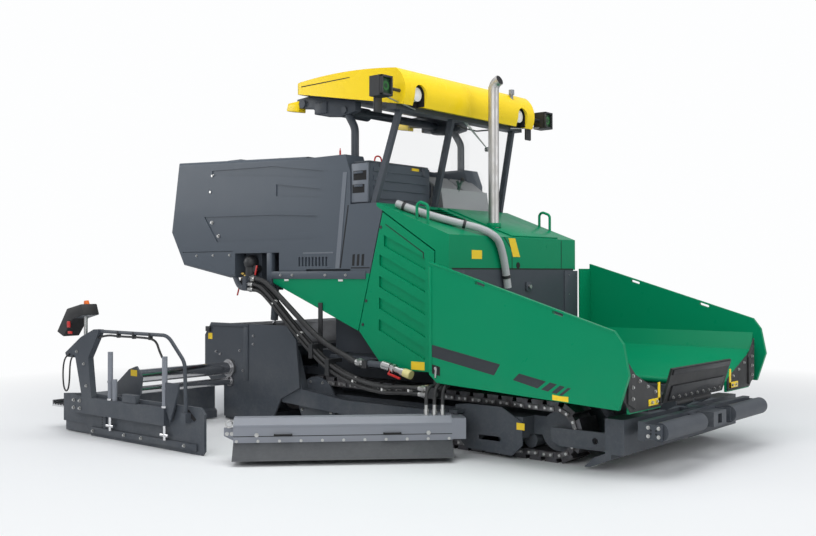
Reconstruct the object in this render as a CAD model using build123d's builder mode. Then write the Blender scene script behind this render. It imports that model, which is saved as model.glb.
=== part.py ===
"""Tracked asphalt paver with a spray module, at full size, in millimetres.

+X points forward (hopper end), +Y left, +Z up. The origin is on the ground, midway along the machine.
"""
import os
from math import atan2, cos, degrees, radians, sin, tan

from build123d import *

# Fits
touch_gap = 0.3            # between curved faces that seat on each other
eye_gap = 0.5              # sideways room of a rod's eye between its lugs
panel_gap = 14             # shut line round the side doors
swing_gap = 20             # room beside a folding or swivelling piece

# Body width and plates
half_body = 1250           # half width over doors, side panels and spray housing
panel = 45                 # doors, side panels and cover walls
sheet = 16                 # brackets and guards

# Tracks
track_inner = 845
track_width = 305
shoe_height = 40
shoe_length = 140
shoe_count = 46
chain_height = 60
sprocket_x = -850
sprocket_reach = 310       # from the sprocket's axis to the shoe tips
idler_x = 2340
idler_reach = 290
roller_radius = 75
roller_count = 9
drive_cover_radius = 300

# Main frame and conveyor
frame_inner = 640          # half width of the conveyor tunnel
frame_plate = 60
frame_rear = -1300
frame_front = 2930
frame_low = 250
tunnel_roof = 850
roof_plate = 30
hopper_sill = 600          # top of the frame beside the conveyor in the hopper
deck_top = 530
deck_plate = 40
deck_front = 3040
slat_pitch = 330
slat_height = 28
cross_beam_depth = 190     # front cross beam, along X
cross_beam_low = 170
cross_beam_top = 490
cross_beam_reach = 20      # how far the front cross beam stands out beside the body

# Engine bay, hood and doors
bulkhead_front = 1140
bulkhead_plate = 50
hood_low = 1840            # lower edge of the hood's front face
hood_front_top = 2200
hood_rear = 150
hood_rear_top = 2570
door_front = 950
door_low = 775
door_corner_x = 260        # front end of the door's slanted lower edge
door_rear_x = -110         # the door's rear lower corner
door_rear_z = 1170
door_top_x = 240
door_top_z = 2460
door_front_top = 2030
door_band_count = 5
engine_size = (950, 860, 820)
engine_rear = 0

# Platform and operator's station
platform_level = 1800
platform_plate = 50
platform_rear = -950
dash_plate = 80
rear_frame_tip = -1500
side_panel_rear = -240
locker_top = 3020
locker_inner = -160

# Windscreen, roof and lamps
sill_level = 2570
post_lean = 260            # how far the posts lean forward
post_toe = 110             # how far they lean inwards
post_height = 1000
post_depth = 70
post_width = 50
post_base_x = 70
post_inset = 35
mullion_y = -150
glass = 8
roof_rear = -1150
roof_front = 550
roof_top = 4050
roof_tail_low = 3900
roof_skin = 40
lamp_radius = 75
lamp_y = 990
lamp_z = 3735
mirror_reach = 310
mirror_z = 3745

# Exhaust, handles and vent hose
exhaust_x = 820
exhaust_radius = 60
exhaust_wall = 4
exhaust_top = 3930
handle_x = 745
handle_y = 1190
handle_height = 250
handle_radius = 16
vent_hose_radius = 42

# Spray module
spray_rear = -3500
spray_top_rear_x = -3340
spray_top_rear = 3250
spray_top_front = 3130
spray_front = -320
spray_belly_x = -2330
spray_belly = 1750
spray_chin_x = -3240
spray_chin = 1910
cheek_depth = 300          # side lockers beside the operator
hose_radius = 20
main_hose_radius = 32
hose_reach = 110

# Lateral spray bars
bar_length = 2090
bar_skirt_width = 545
bar_body_width = 190
bar_top = 420
bar_skirt_top = 190
bar_low = 50
bar_angle = 45             # swung out from the machine's side, in degrees
bar_pivot_x = 1330
bar_pivot_reach = 130      # from the body's side to the pivot
bar_pin_radius = 30

# Hopper
wing_outer = 1600
wing_rear = 1160
wing_front = 3200
wing_plate = 40
wing_hinge_y = 740
wing_hinge_z = 645
wing_pin_radius = 16
wing_knuckle_radius = 34
wing_crease_y = 1480
wing_crease_z = 945
wing_rear_top = 1915
wing_front_top = 1300
wing_nose_x = 3340
flap_plate = 25
apron_half_width = 685
apron_hinge_x = 3190
apron_hinge_z = 562
apron_height = 340
apron_lean = 17            # forward lean at rest, in degrees
apron_plate = 24
apron_pin_radius = 14

# Push rollers
push_roller_x = 3415
push_roller_z = 400
push_roller_radius = 85
push_roller_bore = 22
push_end = 1210
push_centre = 300
push_beam_rear = 3225
push_pivot_x = 3170
push_pin_radius = 30

# Screed and tow arms
tow_x = 1700
tow_z = 330
tow_pin_radius = 32
arm_width = 95
arm_depth = 160
screed_half = 1300         # half of the basic paving width
screed_end_plate = 25
screed_rear = -2350
screed_front = -1780
screed_sole = 10           # ride height of the sole
screed_box = 410
end_plate_rear = -2720
end_plate_front = -1000
end_plate_top = 1190
tube_x = -2230
tube_z = 640
tube_radius = 75
torque_tube_z = 480
torque_tube_radius = 45
guide_box = 240

# Screed extensions
extension_rear = -3050
extension_front = -2500
extension_outer = 3040
carrier_y = 2650
gate_plate = 30
gate_front = -500
gate_rear = -2540
gate_height = 470
spindle_radius = 16
rail_radius = 19
rail_top = 1170

# Augers
auger_x = -1540
auger_z = 330
auger_radius = 190
auger_shaft = 45
auger_inner = 45
auger_outer = 1100
auger_flight = 16
auger_pitch = 300

# Hydraulic rams
lift_ram_inset = 120
lift_base = (-1580, 1640)  # x and z of the upper pin
lift_eye = (-1640, 960)
lift_barrel = 400
wing_ram_x = 2780
wing_base = (770, 330)     # half width and z of the lower pin
wing_eye = (1180, 745)
wing_barrel = 400
ram_radius = 45
ram_rod_radius = 22
ram_eye_radius = 36
ram_eye_width = 50
ram_neck = 64              # from the base pin to the barrel's closed end
ram_engaged = 60           # rod left inside the barrel at its longest

# Values that follow from the ones above
track_outer = track_inner + track_width
frame_outer = frame_inner + frame_plate
panel_inner = half_body - panel
bay_floor = tunnel_roof + roof_plate
floor_top = platform_level + platform_plate
cross_beam_front = frame_front + cross_beam_depth
sprocket_path = sprocket_reach - shoe_height
idler_path = idler_reach - shoe_height
track_floor = shoe_height + chain_height
half_frame_width = half_body + cross_beam_reach
arm_inner = screed_half - screed_end_plate - arm_width
bracket_inner = arm_inner - sheet - 4
bracket_outer = screed_half - screed_end_plate + 6
wing_slope = atan2(wing_crease_z - wing_hinge_z, wing_crease_y - wing_hinge_y)
hood_slope = (hood_rear_top - hood_front_top) / (bulkhead_front - hood_rear)
bar_pivot = (bar_pivot_x, half_body + bar_pivot_reach)
lift_ram_y = half_body - lift_ram_inset
mirror_y = half_body + mirror_reach
post_outer = half_body - post_inset
hose_y = half_body + hose_reach

os.makedirs("parts", exist_ok=True)


def side_plane(y):
    """A plane across the machine at y, with local axes X and Z, extruding towards -Y."""
    return Plane(origin=(0, y, 0), x_dir=(1, 0, 0), z_dir=(0, -1, 0))


def cross_plane(x):
    """A plane along the machine at x, with local axes Y and Z, extruding towards +X."""
    return Plane(origin=(x, 0, 0), x_dir=(0, 1, 0), z_dir=(1, 0, 0))


def outline(plane, *points):
    """A closed straight-sided outline on a plane."""
    with BuildSketch(plane) as shape:
        with BuildLine():
            Polyline(*points, close=True)
        make_face()
    return shape.sketch


def block(low, high, mode=Mode.ADD):
    """A box between two opposite corners, in the piece being built."""
    with Locations(tuple((a + b) / 2 for a, b in zip(low, high))):
        Box(*[abs(b - a) for a, b in zip(low, high)], mode=mode)


def rod(start, end, radius, mode=Mode.ADD):
    """A round bar between two points, in the piece being built."""
    axis = Vector(*end) - Vector(*start)
    with BuildSketch(Plane(origin=start, z_dir=axis)) as section:
        Circle(radius)
    extrude(section.sketch, amount=axis.length, mode=mode)


def bent_tube(points, radius, bends):
    """A bent round tube along straight runs and tangent arcs, in the piece being built."""
    with BuildLine() as path:
        FilletPolyline(*points, radius=bends)
    with BuildSketch(Plane(origin=path.line @ 0, z_dir=path.line % 0)) as section:
        Circle(radius)
    sweep(section.sketch, path=path.line)


def mirrored(piece):
    """The same piece on the other side of the machine."""
    with BuildPart() as copy:
        mirror(piece, about=Plane.XZ)
    return copy.part


def both_sides(piece):
    """A piece and its mirror image, as two solids that don't touch."""
    with BuildPart() as pair:
        add(piece)
        mirror(piece, about=Plane.XZ)
    return pair.part


def save(piece, name):
    """Write one node."""
    piece.label = name
    export_step(piece, f"parts/{name}.step")


def door_top_line(x):
    """Height of the door's sloping top edge."""
    return door_top_z + (x - door_top_x) * (door_front_top - door_top_z) / (door_front - door_top_x)


def door_rear_line(z):
    """Place along X of the door's leaning rear edge."""
    return door_rear_x + (z - door_rear_z) * (door_top_x - door_rear_x) / (door_top_z - door_rear_z)


def hood_edge(x):
    """Height of the hood's lower side edge, a shut line above the door."""
    return door_top_line(x) + 1.2 * panel_gap


def hood_top(x):
    """Height of the hood's sloping top."""
    return hood_rear_top - (x - hood_rear) * hood_slope


def spray_top(x):
    """Height of the spray housing's sloping top."""
    fall = (spray_top_rear - spray_top_front) / (spray_front - spray_top_rear_x)
    return spray_top_rear - (x - spray_top_rear_x) * fall


# Main frame: side plates, tunnel roof, belly pan, front cross beam and the lugs it carries
pivot_plate = 25
pivot_half = 120
hinge_lug = 12
apron_lugs = (-400, 0, 400)
apron_lug_half = 10
bay_rear = -150
bay_shelf = -600
with BuildPart() as main_frame:
    extrude(
        outline(
            side_plane(-frame_inner),
            (frame_rear, frame_low),
            (frame_front, frame_low),
            (frame_front, hopper_sill),
            (bulkhead_front, hopper_sill),
            (bulkhead_front, tunnel_roof),
            (frame_rear, tunnel_roof),
        ),
        amount=frame_plate,
    )
    for x in (wing_rear - swing_gap + 2, frame_front - swing_gap - hinge_lug):
        block(
            (x, -wing_hinge_y - wing_knuckle_radius, hopper_sill - frame_plate),
            (x + hinge_lug, -frame_outer, wing_hinge_z + wing_knuckle_radius),
        )
    rod(
        (wing_rear - swing_gap + 2, -wing_hinge_y, wing_hinge_z),
        (frame_front - swing_gap, -wing_hinge_y, wing_hinge_z),
        wing_pin_radius,
    )
    for x in (wing_ram_x - ram_eye_width / 2 - eye_gap - sheet, wing_ram_x + ram_eye_width / 2 + eye_gap):
        block(
            (x, -wing_base[0] - ram_eye_radius, wing_base[1] - ram_eye_radius),
            (x + sheet, -frame_outer, wing_base[1] + ram_eye_radius),
        )
    rod(
        (wing_ram_x - ram_eye_width / 2 - eye_gap, -wing_base[0], wing_base[1]),
        (wing_ram_x + ram_eye_width / 2 + eye_gap, -wing_base[0], wing_base[1]),
        wing_pin_radius,
    )
    mirror(about=Plane.XZ)
    block((frame_rear, -frame_outer, tunnel_roof), (bulkhead_front - bulkhead_plate, frame_outer, bay_floor))
    block((bay_shelf, -panel_inner, tunnel_roof), (bulkhead_front - bulkhead_plate, panel_inner, bay_floor))
    block((frame_rear, -frame_inner, frame_low), (frame_front, frame_inner, frame_low + roof_plate))
    block(
        (frame_front, -half_frame_width, cross_beam_low),
        (cross_beam_front, half_frame_width, cross_beam_top),
    )
    for z in (push_roller_z - 65 - pivot_plate, push_roller_z + 65):
        block((cross_beam_front, -pivot_half, z), (push_pivot_x + 38, pivot_half, z + pivot_plate))
    rod(
        (push_pivot_x, 0, push_roller_z - 65),
        (push_pivot_x, 0, push_roller_z + 65),
        push_pin_radius,
    )
    for y in apron_lugs:
        extrude(
            outline(
                side_plane(y + apron_lug_half),
                (deck_front, cross_beam_top),
                (cross_beam_front, cross_beam_top),
                (apron_hinge_x + 22, apron_hinge_z - 18),
                (apron_hinge_x + 22, apron_hinge_z + 22),
                (apron_hinge_x - 22, apron_hinge_z + 22),
                (deck_front, deck_top),
            ),
            amount=2 * apron_lug_half,
        )
    rod(
        (apron_hinge_x, apron_lugs[0] - apron_lug_half, apron_hinge_z),
        (apron_hinge_x, apron_lugs[2] + apron_lug_half, apron_hinge_z),
        apron_pin_radius,
    )
save(main_frame.part, "main_frame")

# Conveyor: deck plate, chain guard along the middle, chains and slats
chain_y = 330
chain_half = 35
chain_rise = 15
guard_half = 60
with BuildPart() as conveyor:
    block((frame_rear, -frame_inner, deck_top - deck_plate), (deck_front, frame_inner, deck_top))
    block((frame_rear, -guard_half, deck_top), (deck_front - guard_half, guard_half, deck_top + guard_half))
    slat_count = int((deck_front - frame_rear - 2 * guard_half) / slat_pitch)
    for side in (-1, 1):
        block(
            (frame_rear, side * chain_y - chain_half, deck_top),
            (deck_front - guard_half, side * chain_y + chain_half, deck_top + chain_rise),
        )
        for i in range(slat_count):
            x = frame_rear + guard_half + i * slat_pitch
            y = side * (guard_half + frame_inner) / 2
            reach = (frame_inner - guard_half) / 2 - chain_rise
            block((x, y - reach, deck_top), (x + 2 * chain_half, y + reach, deck_top + slat_height))
save(conveyor.part, "conveyor")

# Bulkhead between the hopper and the engine bay, with the tunnel mouth left open
bulkhead_low = 680
with BuildPart() as bulkhead:
    extrude(
        outline(
            cross_plane(bulkhead_front - bulkhead_plate),
            (-panel_inner, hood_low),
            (-panel_inner, bulkhead_low),
            (-frame_outer, bulkhead_low),
            (-frame_outer, tunnel_roof),
            (frame_outer, tunnel_roof),
            (frame_outer, bulkhead_low),
            (panel_inner, bulkhead_low),
            (panel_inner, hood_low),
        ),
        amount=bulkhead_plate,
    )
save(bulkhead.part, "bulkhead")

# Engine: one plain block on the bay floor
with BuildPart() as engine:
    block(
        (engine_rear, -engine_size[1] / 2, bay_floor),
        (engine_rear + engine_size[0], engine_size[1] / 2, bay_floor + engine_size[2]),
    )
save(engine.part, "engine")

# Hood: sloping top, front face and the side columns that carry the doors
column_rear = door_front + panel_gap
hinge_x = door_front + panel_gap / 2
hinge_pin = 8
hinge_barrel = 16
hinge_y = half_body + hinge_barrel + 2
hinge_length = 140
hinge_levels = (1000, 1750)
with BuildPart() as hood:
    extrude(
        outline(
            side_plane(half_body),
            (hood_rear, hood_edge(hood_rear)),
            (hood_rear, hood_rear_top),
            (bulkhead_front, hood_front_top),
            (bulkhead_front, hood_low),
            (bulkhead_front - bulkhead_plate, hood_low),
            (bulkhead_front - bulkhead_plate, bulkhead_low),
            (column_rear, door_low),
            (column_rear, hood_edge(column_rear)),
        ),
        amount=2 * half_body,
    )
    extrude(
        outline(
            side_plane(panel_inner),
            (hood_rear, hood_rear_top - panel),
            (bulkhead_front - bulkhead_plate, hood_top(bulkhead_front - bulkhead_plate) - panel),
            (bulkhead_front - bulkhead_plate, bulkhead_low),
            (hood_rear, bulkhead_low),
        ),
        amount=2 * panel_inner,
        mode=Mode.SUBTRACT,
    )
    rod(
        (exhaust_x, 0, hood_low),
        (exhaust_x, 0, sill_level),
        exhaust_radius + touch_gap,
        mode=Mode.SUBTRACT,
    )
    for z in hinge_levels:
        for side in (-1, 1):
            rod((hinge_x, side * hinge_y, z), (hinge_x, side * hinge_y, z + hinge_length), hinge_pin)
            for end in (z, z + hinge_length - hinge_barrel):
                rod((hinge_x, side * hinge_y, end), (hinge_x, side * hinge_y, end + hinge_barrel), hinge_barrel)
                block(
                    (hinge_x, side * half_body, end),
                    (column_rear + 3 * hinge_barrel, side * (half_body + hinge_barrel), end + hinge_barrel),
                )
save(hood.part, "hood")

# Side doors, with slanted recessed bands, hinged on the hood's columns
band_depth = 24
band_width = 120
band_pitch = 235
band_slope = 0.45
with BuildPart() as door_right:
    extrude(
        outline(
            side_plane(-panel_inner),
            (door_top_x, door_top_z),
            (door_front, door_front_top),
            (door_front, door_low),
            (door_corner_x, door_low),
            (door_rear_x, door_rear_z),
        ),
        amount=panel,
    )
    for i in range(door_band_count):
        low = door_low + band_width + i * band_pitch
        rear = door_rear_line(low + 2 * band_width) + band_width + max(0, 3 - i) * band_width / 2
        front = door_front - band_width
        rise = (front - rear) * band_slope
        extrude(
            outline(
                side_plane(-half_body + band_depth),
                (rear, low + rise),
                (front, low),
                (front, low + band_width),
                (rear, low + rise + band_width),
            ),
            amount=band_depth,
            mode=Mode.SUBTRACT,
        )
    for z in hinge_levels:
        low = z + hinge_barrel + touch_gap
        high = z + hinge_length - hinge_barrel - touch_gap
        rod((hinge_x, -hinge_y, low), (hinge_x, -hinge_y, high), hinge_barrel)
        block((hinge_x - 4 * hinge_barrel, -half_body - hinge_barrel, low), (hinge_x, -half_body, high))
        rod((hinge_x, -hinge_y, low), (hinge_x, -hinge_y, high), hinge_pin + touch_gap, mode=Mode.SUBTRACT)
save(door_right.part, "side_door_right")
save(mirrored(door_right.part), "side_door_left")

# Rear frame: closed hydraulic bay behind the engine, and the green panels on its sides


def rear_edge(x):
    """Height of the rear panels' sloping lower edge."""
    front = door_rear_x - panel_gap
    return rear_frame_tip_low + (x - rear_frame_tip) * (door_rear_z - rear_frame_tip_low) / (front - rear_frame_tip)


rear_bay_half = 800
rear_bay_back = -900
rear_frame_low = 1190
rear_frame_tip_low = 1690
with BuildPart() as rear_frame:
    extrude(
        outline(
            side_plane(panel_inner),
            (rear_frame_tip, rear_frame_tip_low),
            (rear_frame_tip, platform_level),
            (bay_rear, platform_level),
            (bay_rear, rear_frame_low),
        ),
        amount=2 * panel_inner,
    )
    block((rear_bay_back, -rear_bay_half, bay_floor), (bay_rear, rear_bay_half, platform_level))
    lug_low = lift_base[1] - ram_eye_radius
    for side in (-1, 1):
        y = side * lift_ram_y
        for edge in (y - ram_eye_width / 2 - eye_gap - sheet, y + ram_eye_width / 2 + eye_gap):
            extrude(
                outline(
                    side_plane(edge + sheet),
                    (rear_frame_tip, platform_level),
                    (rear_frame_tip, rear_frame_tip_low),
                    (rear_frame_tip, lug_low),
                    (lift_base[0] - ram_eye_radius, lug_low),
                    (lift_base[0] - ram_eye_radius, lift_base[1] + ram_eye_radius),
                ),
                amount=sheet,
            )
        rod(
            (lift_base[0], y - ram_eye_width / 2 - eye_gap, lift_base[1]),
            (lift_base[0], y + ram_eye_width / 2 + eye_gap, lift_base[1]),
            wing_pin_radius,
        )
save(rear_frame.part, "rear_frame")

with BuildPart() as rear_panel:
    extrude(
        outline(
            side_plane(-panel_inner),
            (rear_frame_tip, rear_frame_tip_low),
            (rear_frame_tip, platform_level),
            (door_rear_line(platform_level) - panel_gap, platform_level),
            (door_rear_line(door_rear_z) - panel_gap, door_rear_z),
        ),
        amount=panel,
    )
save(both_sides(rear_panel.part), "rear_panels")

# Tracks: a closed loop with its shoes in its outline
with BuildPart() as track_right:
    with BuildSketch(side_plane(-track_inner)) as loop:
        with Locations((sprocket_x, sprocket_reach)):
            Circle(sprocket_path)
        with Locations((idler_x, idler_reach)):
            Circle(idler_path)
        make_hull()
        shoe_path = loop.sketch_local.face().outer_wire()
        for i in range(shoe_count):
            point = shoe_path @ (i / shoe_count)
            along = shoe_path % (i / shoe_count)
            with Locations(Location((point.X, point.Y), degrees(atan2(along.Y, along.X)))):
                Trapezoid(shoe_length, 2 * shoe_height, 75, 75, rotation=180)
                Trapezoid(shoe_length, 2 * shoe_height, 75, 75)
        with Locations(((sprocket_x + idler_x) / 2, -shoe_height)):
            Rectangle(2 * idler_x, 2 * shoe_height, mode=Mode.SUBTRACT)
        with BuildSketch(mode=Mode.SUBTRACT):
            with Locations((sprocket_x, sprocket_reach)):
                Circle(sprocket_path - chain_height)
            with Locations((idler_x, idler_reach)):
                Circle(idler_path - chain_height)
            make_hull()
    extrude(amount=track_width)
save(track_right.part, "track_right")
save(mirrored(track_right.part), "track_left")

# Undercarriage: sprocket, idler and rollers on a beam through each track, with the drive cover
beam_half = 90
beam_z = 330
bracket_rear = 1260
bracket_front = 2060
hub_width = 180
hub_outer = track_outer - (track_width - hub_width) / 2
cover_plate = 22
with BuildPart() as undercarriage_right:
    block((sprocket_x, -hub_outer, beam_z - beam_half), (idler_x, -frame_outer, beam_z + beam_half))
    block(
        (bracket_rear + 100, -bracket_inner, beam_z - beam_half),
        (bracket_front, -frame_outer, beam_z + beam_half),
    )
    rod((sprocket_x, -frame_outer, sprocket_reach), (sprocket_x, -track_outer, sprocket_reach), ram_eye_radius * 3)
    for x, z, reach in (
        (sprocket_x, sprocket_reach, sprocket_path),
        (idler_x, idler_reach, idler_path),
    ):
        rod((x, -hub_outer + hub_width, z), (x, -hub_outer, z), reach - chain_height - eye_gap)
    for i in range(roller_count):
        x = sprocket_x + (i + 1) * (idler_x - sprocket_x) / (roller_count + 1)
        z = track_floor + touch_gap + roller_radius
        rod((x, -hub_outer + hub_width, z), (x, -hub_outer, z), roller_radius)
        block((x - roller_radius / 2, -hub_outer + hub_width, z), (x + roller_radius / 2, -hub_outer, beam_z))
    rod(
        (sprocket_x, -track_outer, sprocket_reach),
        (sprocket_x, -track_outer - cover_plate, sprocket_reach),
        drive_cover_radius,
    )
save(both_sides(undercarriage_right.part), "undercarriage")

# Track guards: front arm plate and scraper blade on the cross beam
arm_plate_rear = 2310
scraper_low = 30
scraper_depth = 210
tie_down = (2780, 255)      # x and z of the lashing hole
tie_down_radius = 30
with BuildPart() as track_guard_right:
    extrude(
        outline(
            side_plane(-track_outer - touch_gap),
            (arm_plate_rear, 340),
            (arm_plate_rear, 215),
            (arm_plate_rear + 90, cross_beam_low),
            (frame_front, cross_beam_low),
            (frame_front, 340),
        ),
        amount=2 * sheet,
    )
    rod(
        (tie_down[0], -track_outer, tie_down[1]),
        (tie_down[0], -track_outer - 4 * sheet, tie_down[1]),
        tie_down_radius,
        mode=Mode.SUBTRACT,
    )
    extrude(
        outline(
            side_plane(-track_inner),
            (frame_front, cross_beam_low),
            (frame_front - 120, scraper_low + 90),
            (frame_front - scraper_depth, scraper_low),
            (frame_front - scraper_depth + 50, scraper_low),
            (frame_front + 60, scraper_low + 90),
            (frame_front + 60, cross_beam_low),
        ),
        amount=half_frame_width - track_inner,
    )
save(both_sides(track_guard_right.part), "track_guards")

# Tow brackets: inner plate on the undercarriage beam, spacer and slotted outer plate
spacer_rear = tow_x + 140
slot_centre = (1675, 185)
slot_size = (270, 46)
with BuildPart() as tow_bracket_right:
    block(
        (bracket_rear + 100, -arm_inner + 4, beam_z - beam_half - 20),
        (bracket_front, -bracket_inner, beam_z + beam_half),
    )
    block(
        (spacer_rear, -bracket_outer, beam_z - beam_half - 20),
        (bracket_front, -arm_inner + 4, beam_z + beam_half),
    )
    with BuildSketch(side_plane(-bracket_outer)) as slotted_plate:
        with BuildLine():
            Polyline(
                (bracket_rear, 480),
                (bracket_rear, 200),
                (bracket_rear + 130, 60),
                (bracket_front - 120, 40),
                (bracket_front, 150),
                (bracket_front, 370),
                (bracket_front - 240, 500),
                (bracket_rear + 150, 500),
                close=True,
            )
        make_face()
        with Locations(slot_centre):
            SlotOverall(*slot_size, mode=Mode.SUBTRACT)
    extrude(amount=sheet)
    rod((tow_x, -arm_inner + 4, tow_z), (tow_x, -bracket_outer, tow_z), tow_pin_radius)
save(both_sides(tow_bracket_right.part), "tow_brackets")

# Operator's platform: floor and the dash wall under the windscreen
with BuildPart() as platform:
    block((platform_rear, -panel_inner, platform_level), (hood_rear, panel_inner, floor_top))
    block((hood_rear - dash_plate, -panel_inner, platform_level), (hood_rear, panel_inner, sill_level))
save(platform.part, "platform")

# Grey side panels beside the dash
panel_nose = door_rear_line(door_top_z) - panel_gap
with BuildPart() as side_panel:
    extrude(
        outline(
            side_plane(-panel_inner),
            (side_panel_rear, platform_level),
            (door_rear_line(platform_level) - panel_gap, platform_level),
            (panel_nose, door_top_z),
            (panel_nose, hood_edge(panel_nose)),
            (hood_rear, hood_edge(hood_rear)),
            (hood_rear, sill_level),
            (side_panel_rear, sill_level),
        ),
        amount=panel,
    )
save(both_sides(side_panel.part), "side_panels")

# Locker behind the right-hand pane, with ribs on its front
locker_low = floor_top
locker_rib = 14
with BuildPart() as locker:
    block((side_panel_rear, -panel_inner, locker_low), (hood_rear - dash_plate - 60, locker_inner, locker_top))
    for i in range(4):
        z = sill_level + 60 + i * 100
        block(
            (hood_rear - dash_plate - 60, -panel_inner + 60, z),
            (hood_rear - dash_plate - 60 + locker_rib, locker_inner - 60, z + 50),
        )
save(locker.part, "locker")

# Operator's seats and console
seat_x = -640
seat_y = 560
seat_half = 240
seat_base_top = 2230
cushion_height = 110
back_top = 2900
seat_base_half = 170
with BuildPart() as seats:
    for side in (-1, 1):
        block(
            (seat_x - seat_base_half, side * seat_y - seat_base_half, floor_top),
            (seat_x + seat_base_half, side * seat_y + seat_base_half, seat_base_top),
        )
        block(
            (seat_x - seat_half, side * seat_y - seat_half, seat_base_top),
            (seat_x + seat_half, side * seat_y + seat_half, seat_base_top + cushion_height),
        )
        extrude(
            outline(
                side_plane(side * seat_y + seat_half),
                (seat_x - seat_half, seat_base_top + cushion_height),
                (seat_x - seat_half + 110, seat_base_top + cushion_height),
                (seat_x - seat_half + 30, back_top),
                (seat_x - seat_half - 50, back_top),
            ),
            amount=2 * seat_half,
        )
save(seats.part, "seats")
console_inner = 60
console_outer = 1000
with BuildPart() as console:
    extrude(
        outline(
            side_plane(console_outer),
            (hood_rear - dash_plate, sill_level - 300),
            (hood_rear - dash_plate, sill_level - 20),
            (hood_rear - dash_plate - 20, sill_level),
            (hood_rear - dash_plate - 60, sill_level + 250),
            (hood_rear - dash_plate - 300, sill_level + 90),
            (hood_rear - dash_plate - 300, sill_level + 20),
        ),
        amount=console_outer - console_inner,
    )
save(console.part, "console")

# Windscreen: leaning corner posts and mullion on the dash, with two panes between them


def leaning_post(y, toe, width):
    """A post from the sill to the roof frame, leaning forward and inwards by toe."""
    with BuildPart() as post:
        with BuildSketch(Plane.XY.offset(sill_level)):
            with Locations((post_base_x, y)):
                Rectangle(post_depth, width)
        with BuildSketch(Plane.XY.offset(sill_level + post_height)):
            with Locations((post_base_x + post_lean, y + toe)):
                Rectangle(post_depth, width)
        loft()
    return post.part


post_y = post_outer - post_width / 2
with BuildPart() as windscreen_posts:
    add(leaning_post(-post_y, post_toe, post_width))
    add(leaning_post(post_y, -post_toe, post_width))
    add(leaning_post(mullion_y, 0, post_width))
save(windscreen_posts.part, "windscreen_posts")


def pane(inner, outer, toe):
    """A pane between the mullion at inner and a corner post at outer."""
    with BuildPart() as sheet_of_glass:
        with BuildSketch(Plane.XY.offset(sill_level)):
            with Locations((post_base_x, (inner + outer) / 2)):
                Rectangle(glass, abs(outer - inner))
        with BuildSketch(Plane.XY.offset(sill_level + post_height)):
            with Locations((post_base_x + post_lean, (inner + outer + toe) / 2)):
                Rectangle(glass, abs(outer + toe - inner))
        loft()
    return sheet_of_glass.part


pane_outer = post_outer - post_width - touch_gap
with BuildPart() as windscreen_glass:
    add(pane(mullion_y - post_width / 2 - touch_gap, -pane_outer, post_toe))
    add(pane(mullion_y + post_width / 2 + touch_gap, pane_outer, -post_toe))
save(windscreen_glass.part, "windscreen_glass")

# Roof: yellow shell that thins towards its tail, over a dark frame with two rear arms
roof_nose_low = sill_level + post_height + 30
roof_corner = 120
roof_frame_depth = 40
lamp_depth = 90
lamp_margin = 25
lamp_seat = roof_front - 40 - lamp_depth
roof_bay_front = lamp_seat - 20


def roof_low(x):
    """Height of the roof's lower edge, which rises to the tail."""
    return roof_nose_low + (roof_front - x) * (roof_tail_low - roof_nose_low) / (roof_front - roof_rear)


with BuildPart() as roof_shell:
    with BuildSketch(side_plane(half_body)) as roof_side:
        with BuildLine():
            tail = Line((roof_rear, roof_tail_low), (roof_rear, roof_top - 40))
            crown = ThreePointArc(tail @ 1, (roof_rear / 2, roof_top), (roof_front - 120, roof_top - 50))
            nose = ThreePointArc(crown @ 1, (roof_front - 25, roof_top - 150), (roof_front, roof_nose_low + 60))
            Polyline(nose @ 1, (roof_front - 20, roof_nose_low), tail @ 0)
        make_face()
    extrude(amount=2 * half_body)
    fillet(roof_shell.edges().filter_by(Axis.Z).sort_by(Axis.X)[:2], roof_corner)
    extrude(
        outline(
            side_plane(half_body - roof_skin),
            (roof_rear + roof_skin, roof_nose_low - roof_skin),
            (roof_rear + roof_skin, roof_top - 2 * roof_skin),
            (roof_bay_front, roof_top - 3 * roof_skin),
            (roof_bay_front, roof_nose_low - roof_skin),
        ),
        amount=2 * (half_body - roof_skin),
        mode=Mode.SUBTRACT,
    )
    for side in (-1, 1):
        rod(
            (lamp_seat, side * lamp_y, lamp_z),
            (roof_front + lamp_depth, side * lamp_y, lamp_z),
            lamp_radius + lamp_margin,
            mode=Mode.SUBTRACT,
        )
        block(
            (lamp_seat, side * lamp_y - lamp_radius - lamp_margin, roof_nose_low - roof_skin),
            (roof_front + lamp_depth, side * lamp_y + lamp_radius + lamp_margin, lamp_z),
            mode=Mode.SUBTRACT,
        )
save(roof_shell.part, "roof_shell")

arm_y = 1000
arm_radius = 45
arm_base_x = -400
arm_top_x = -640
with BuildPart() as roof_frame:
    extrude(
        outline(
            side_plane(half_body - roof_skin),
            (roof_rear + roof_skin, roof_low(roof_rear + roof_skin)),
            (roof_rear + roof_skin, roof_low(roof_rear + roof_skin) + roof_frame_depth),
            (roof_bay_front, roof_low(roof_bay_front) + roof_frame_depth),
            (roof_bay_front, roof_low(roof_bay_front)),
        ),
        amount=2 * (half_body - roof_skin),
    )
    block(
        (post_base_x + post_lean - post_depth, -half_body + roof_skin, sill_level + post_height),
        (post_base_x + post_lean + post_depth, half_body - roof_skin, roof_low(post_base_x + post_lean) + 20),
    )
    for side in (-1, 1):
        bent_tube(
            [
                (arm_base_x, side * arm_y, spray_top_front),
                (arm_base_x, side * arm_y, spray_top_front + 330),
                (arm_top_x, side * arm_y, roof_low(arm_top_x) + roof_frame_depth / 2),
            ],
            arm_radius,
            180,
        )
save(roof_frame.part, "roof_frame")

with BuildPart() as roof_lamps:
    for side in (-1, 1):
        rod((lamp_seat, side * lamp_y, lamp_z), (lamp_seat + lamp_depth, side * lamp_y, lamp_z), lamp_radius)
save(roof_lamps.part, "roof_lamps")

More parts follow.
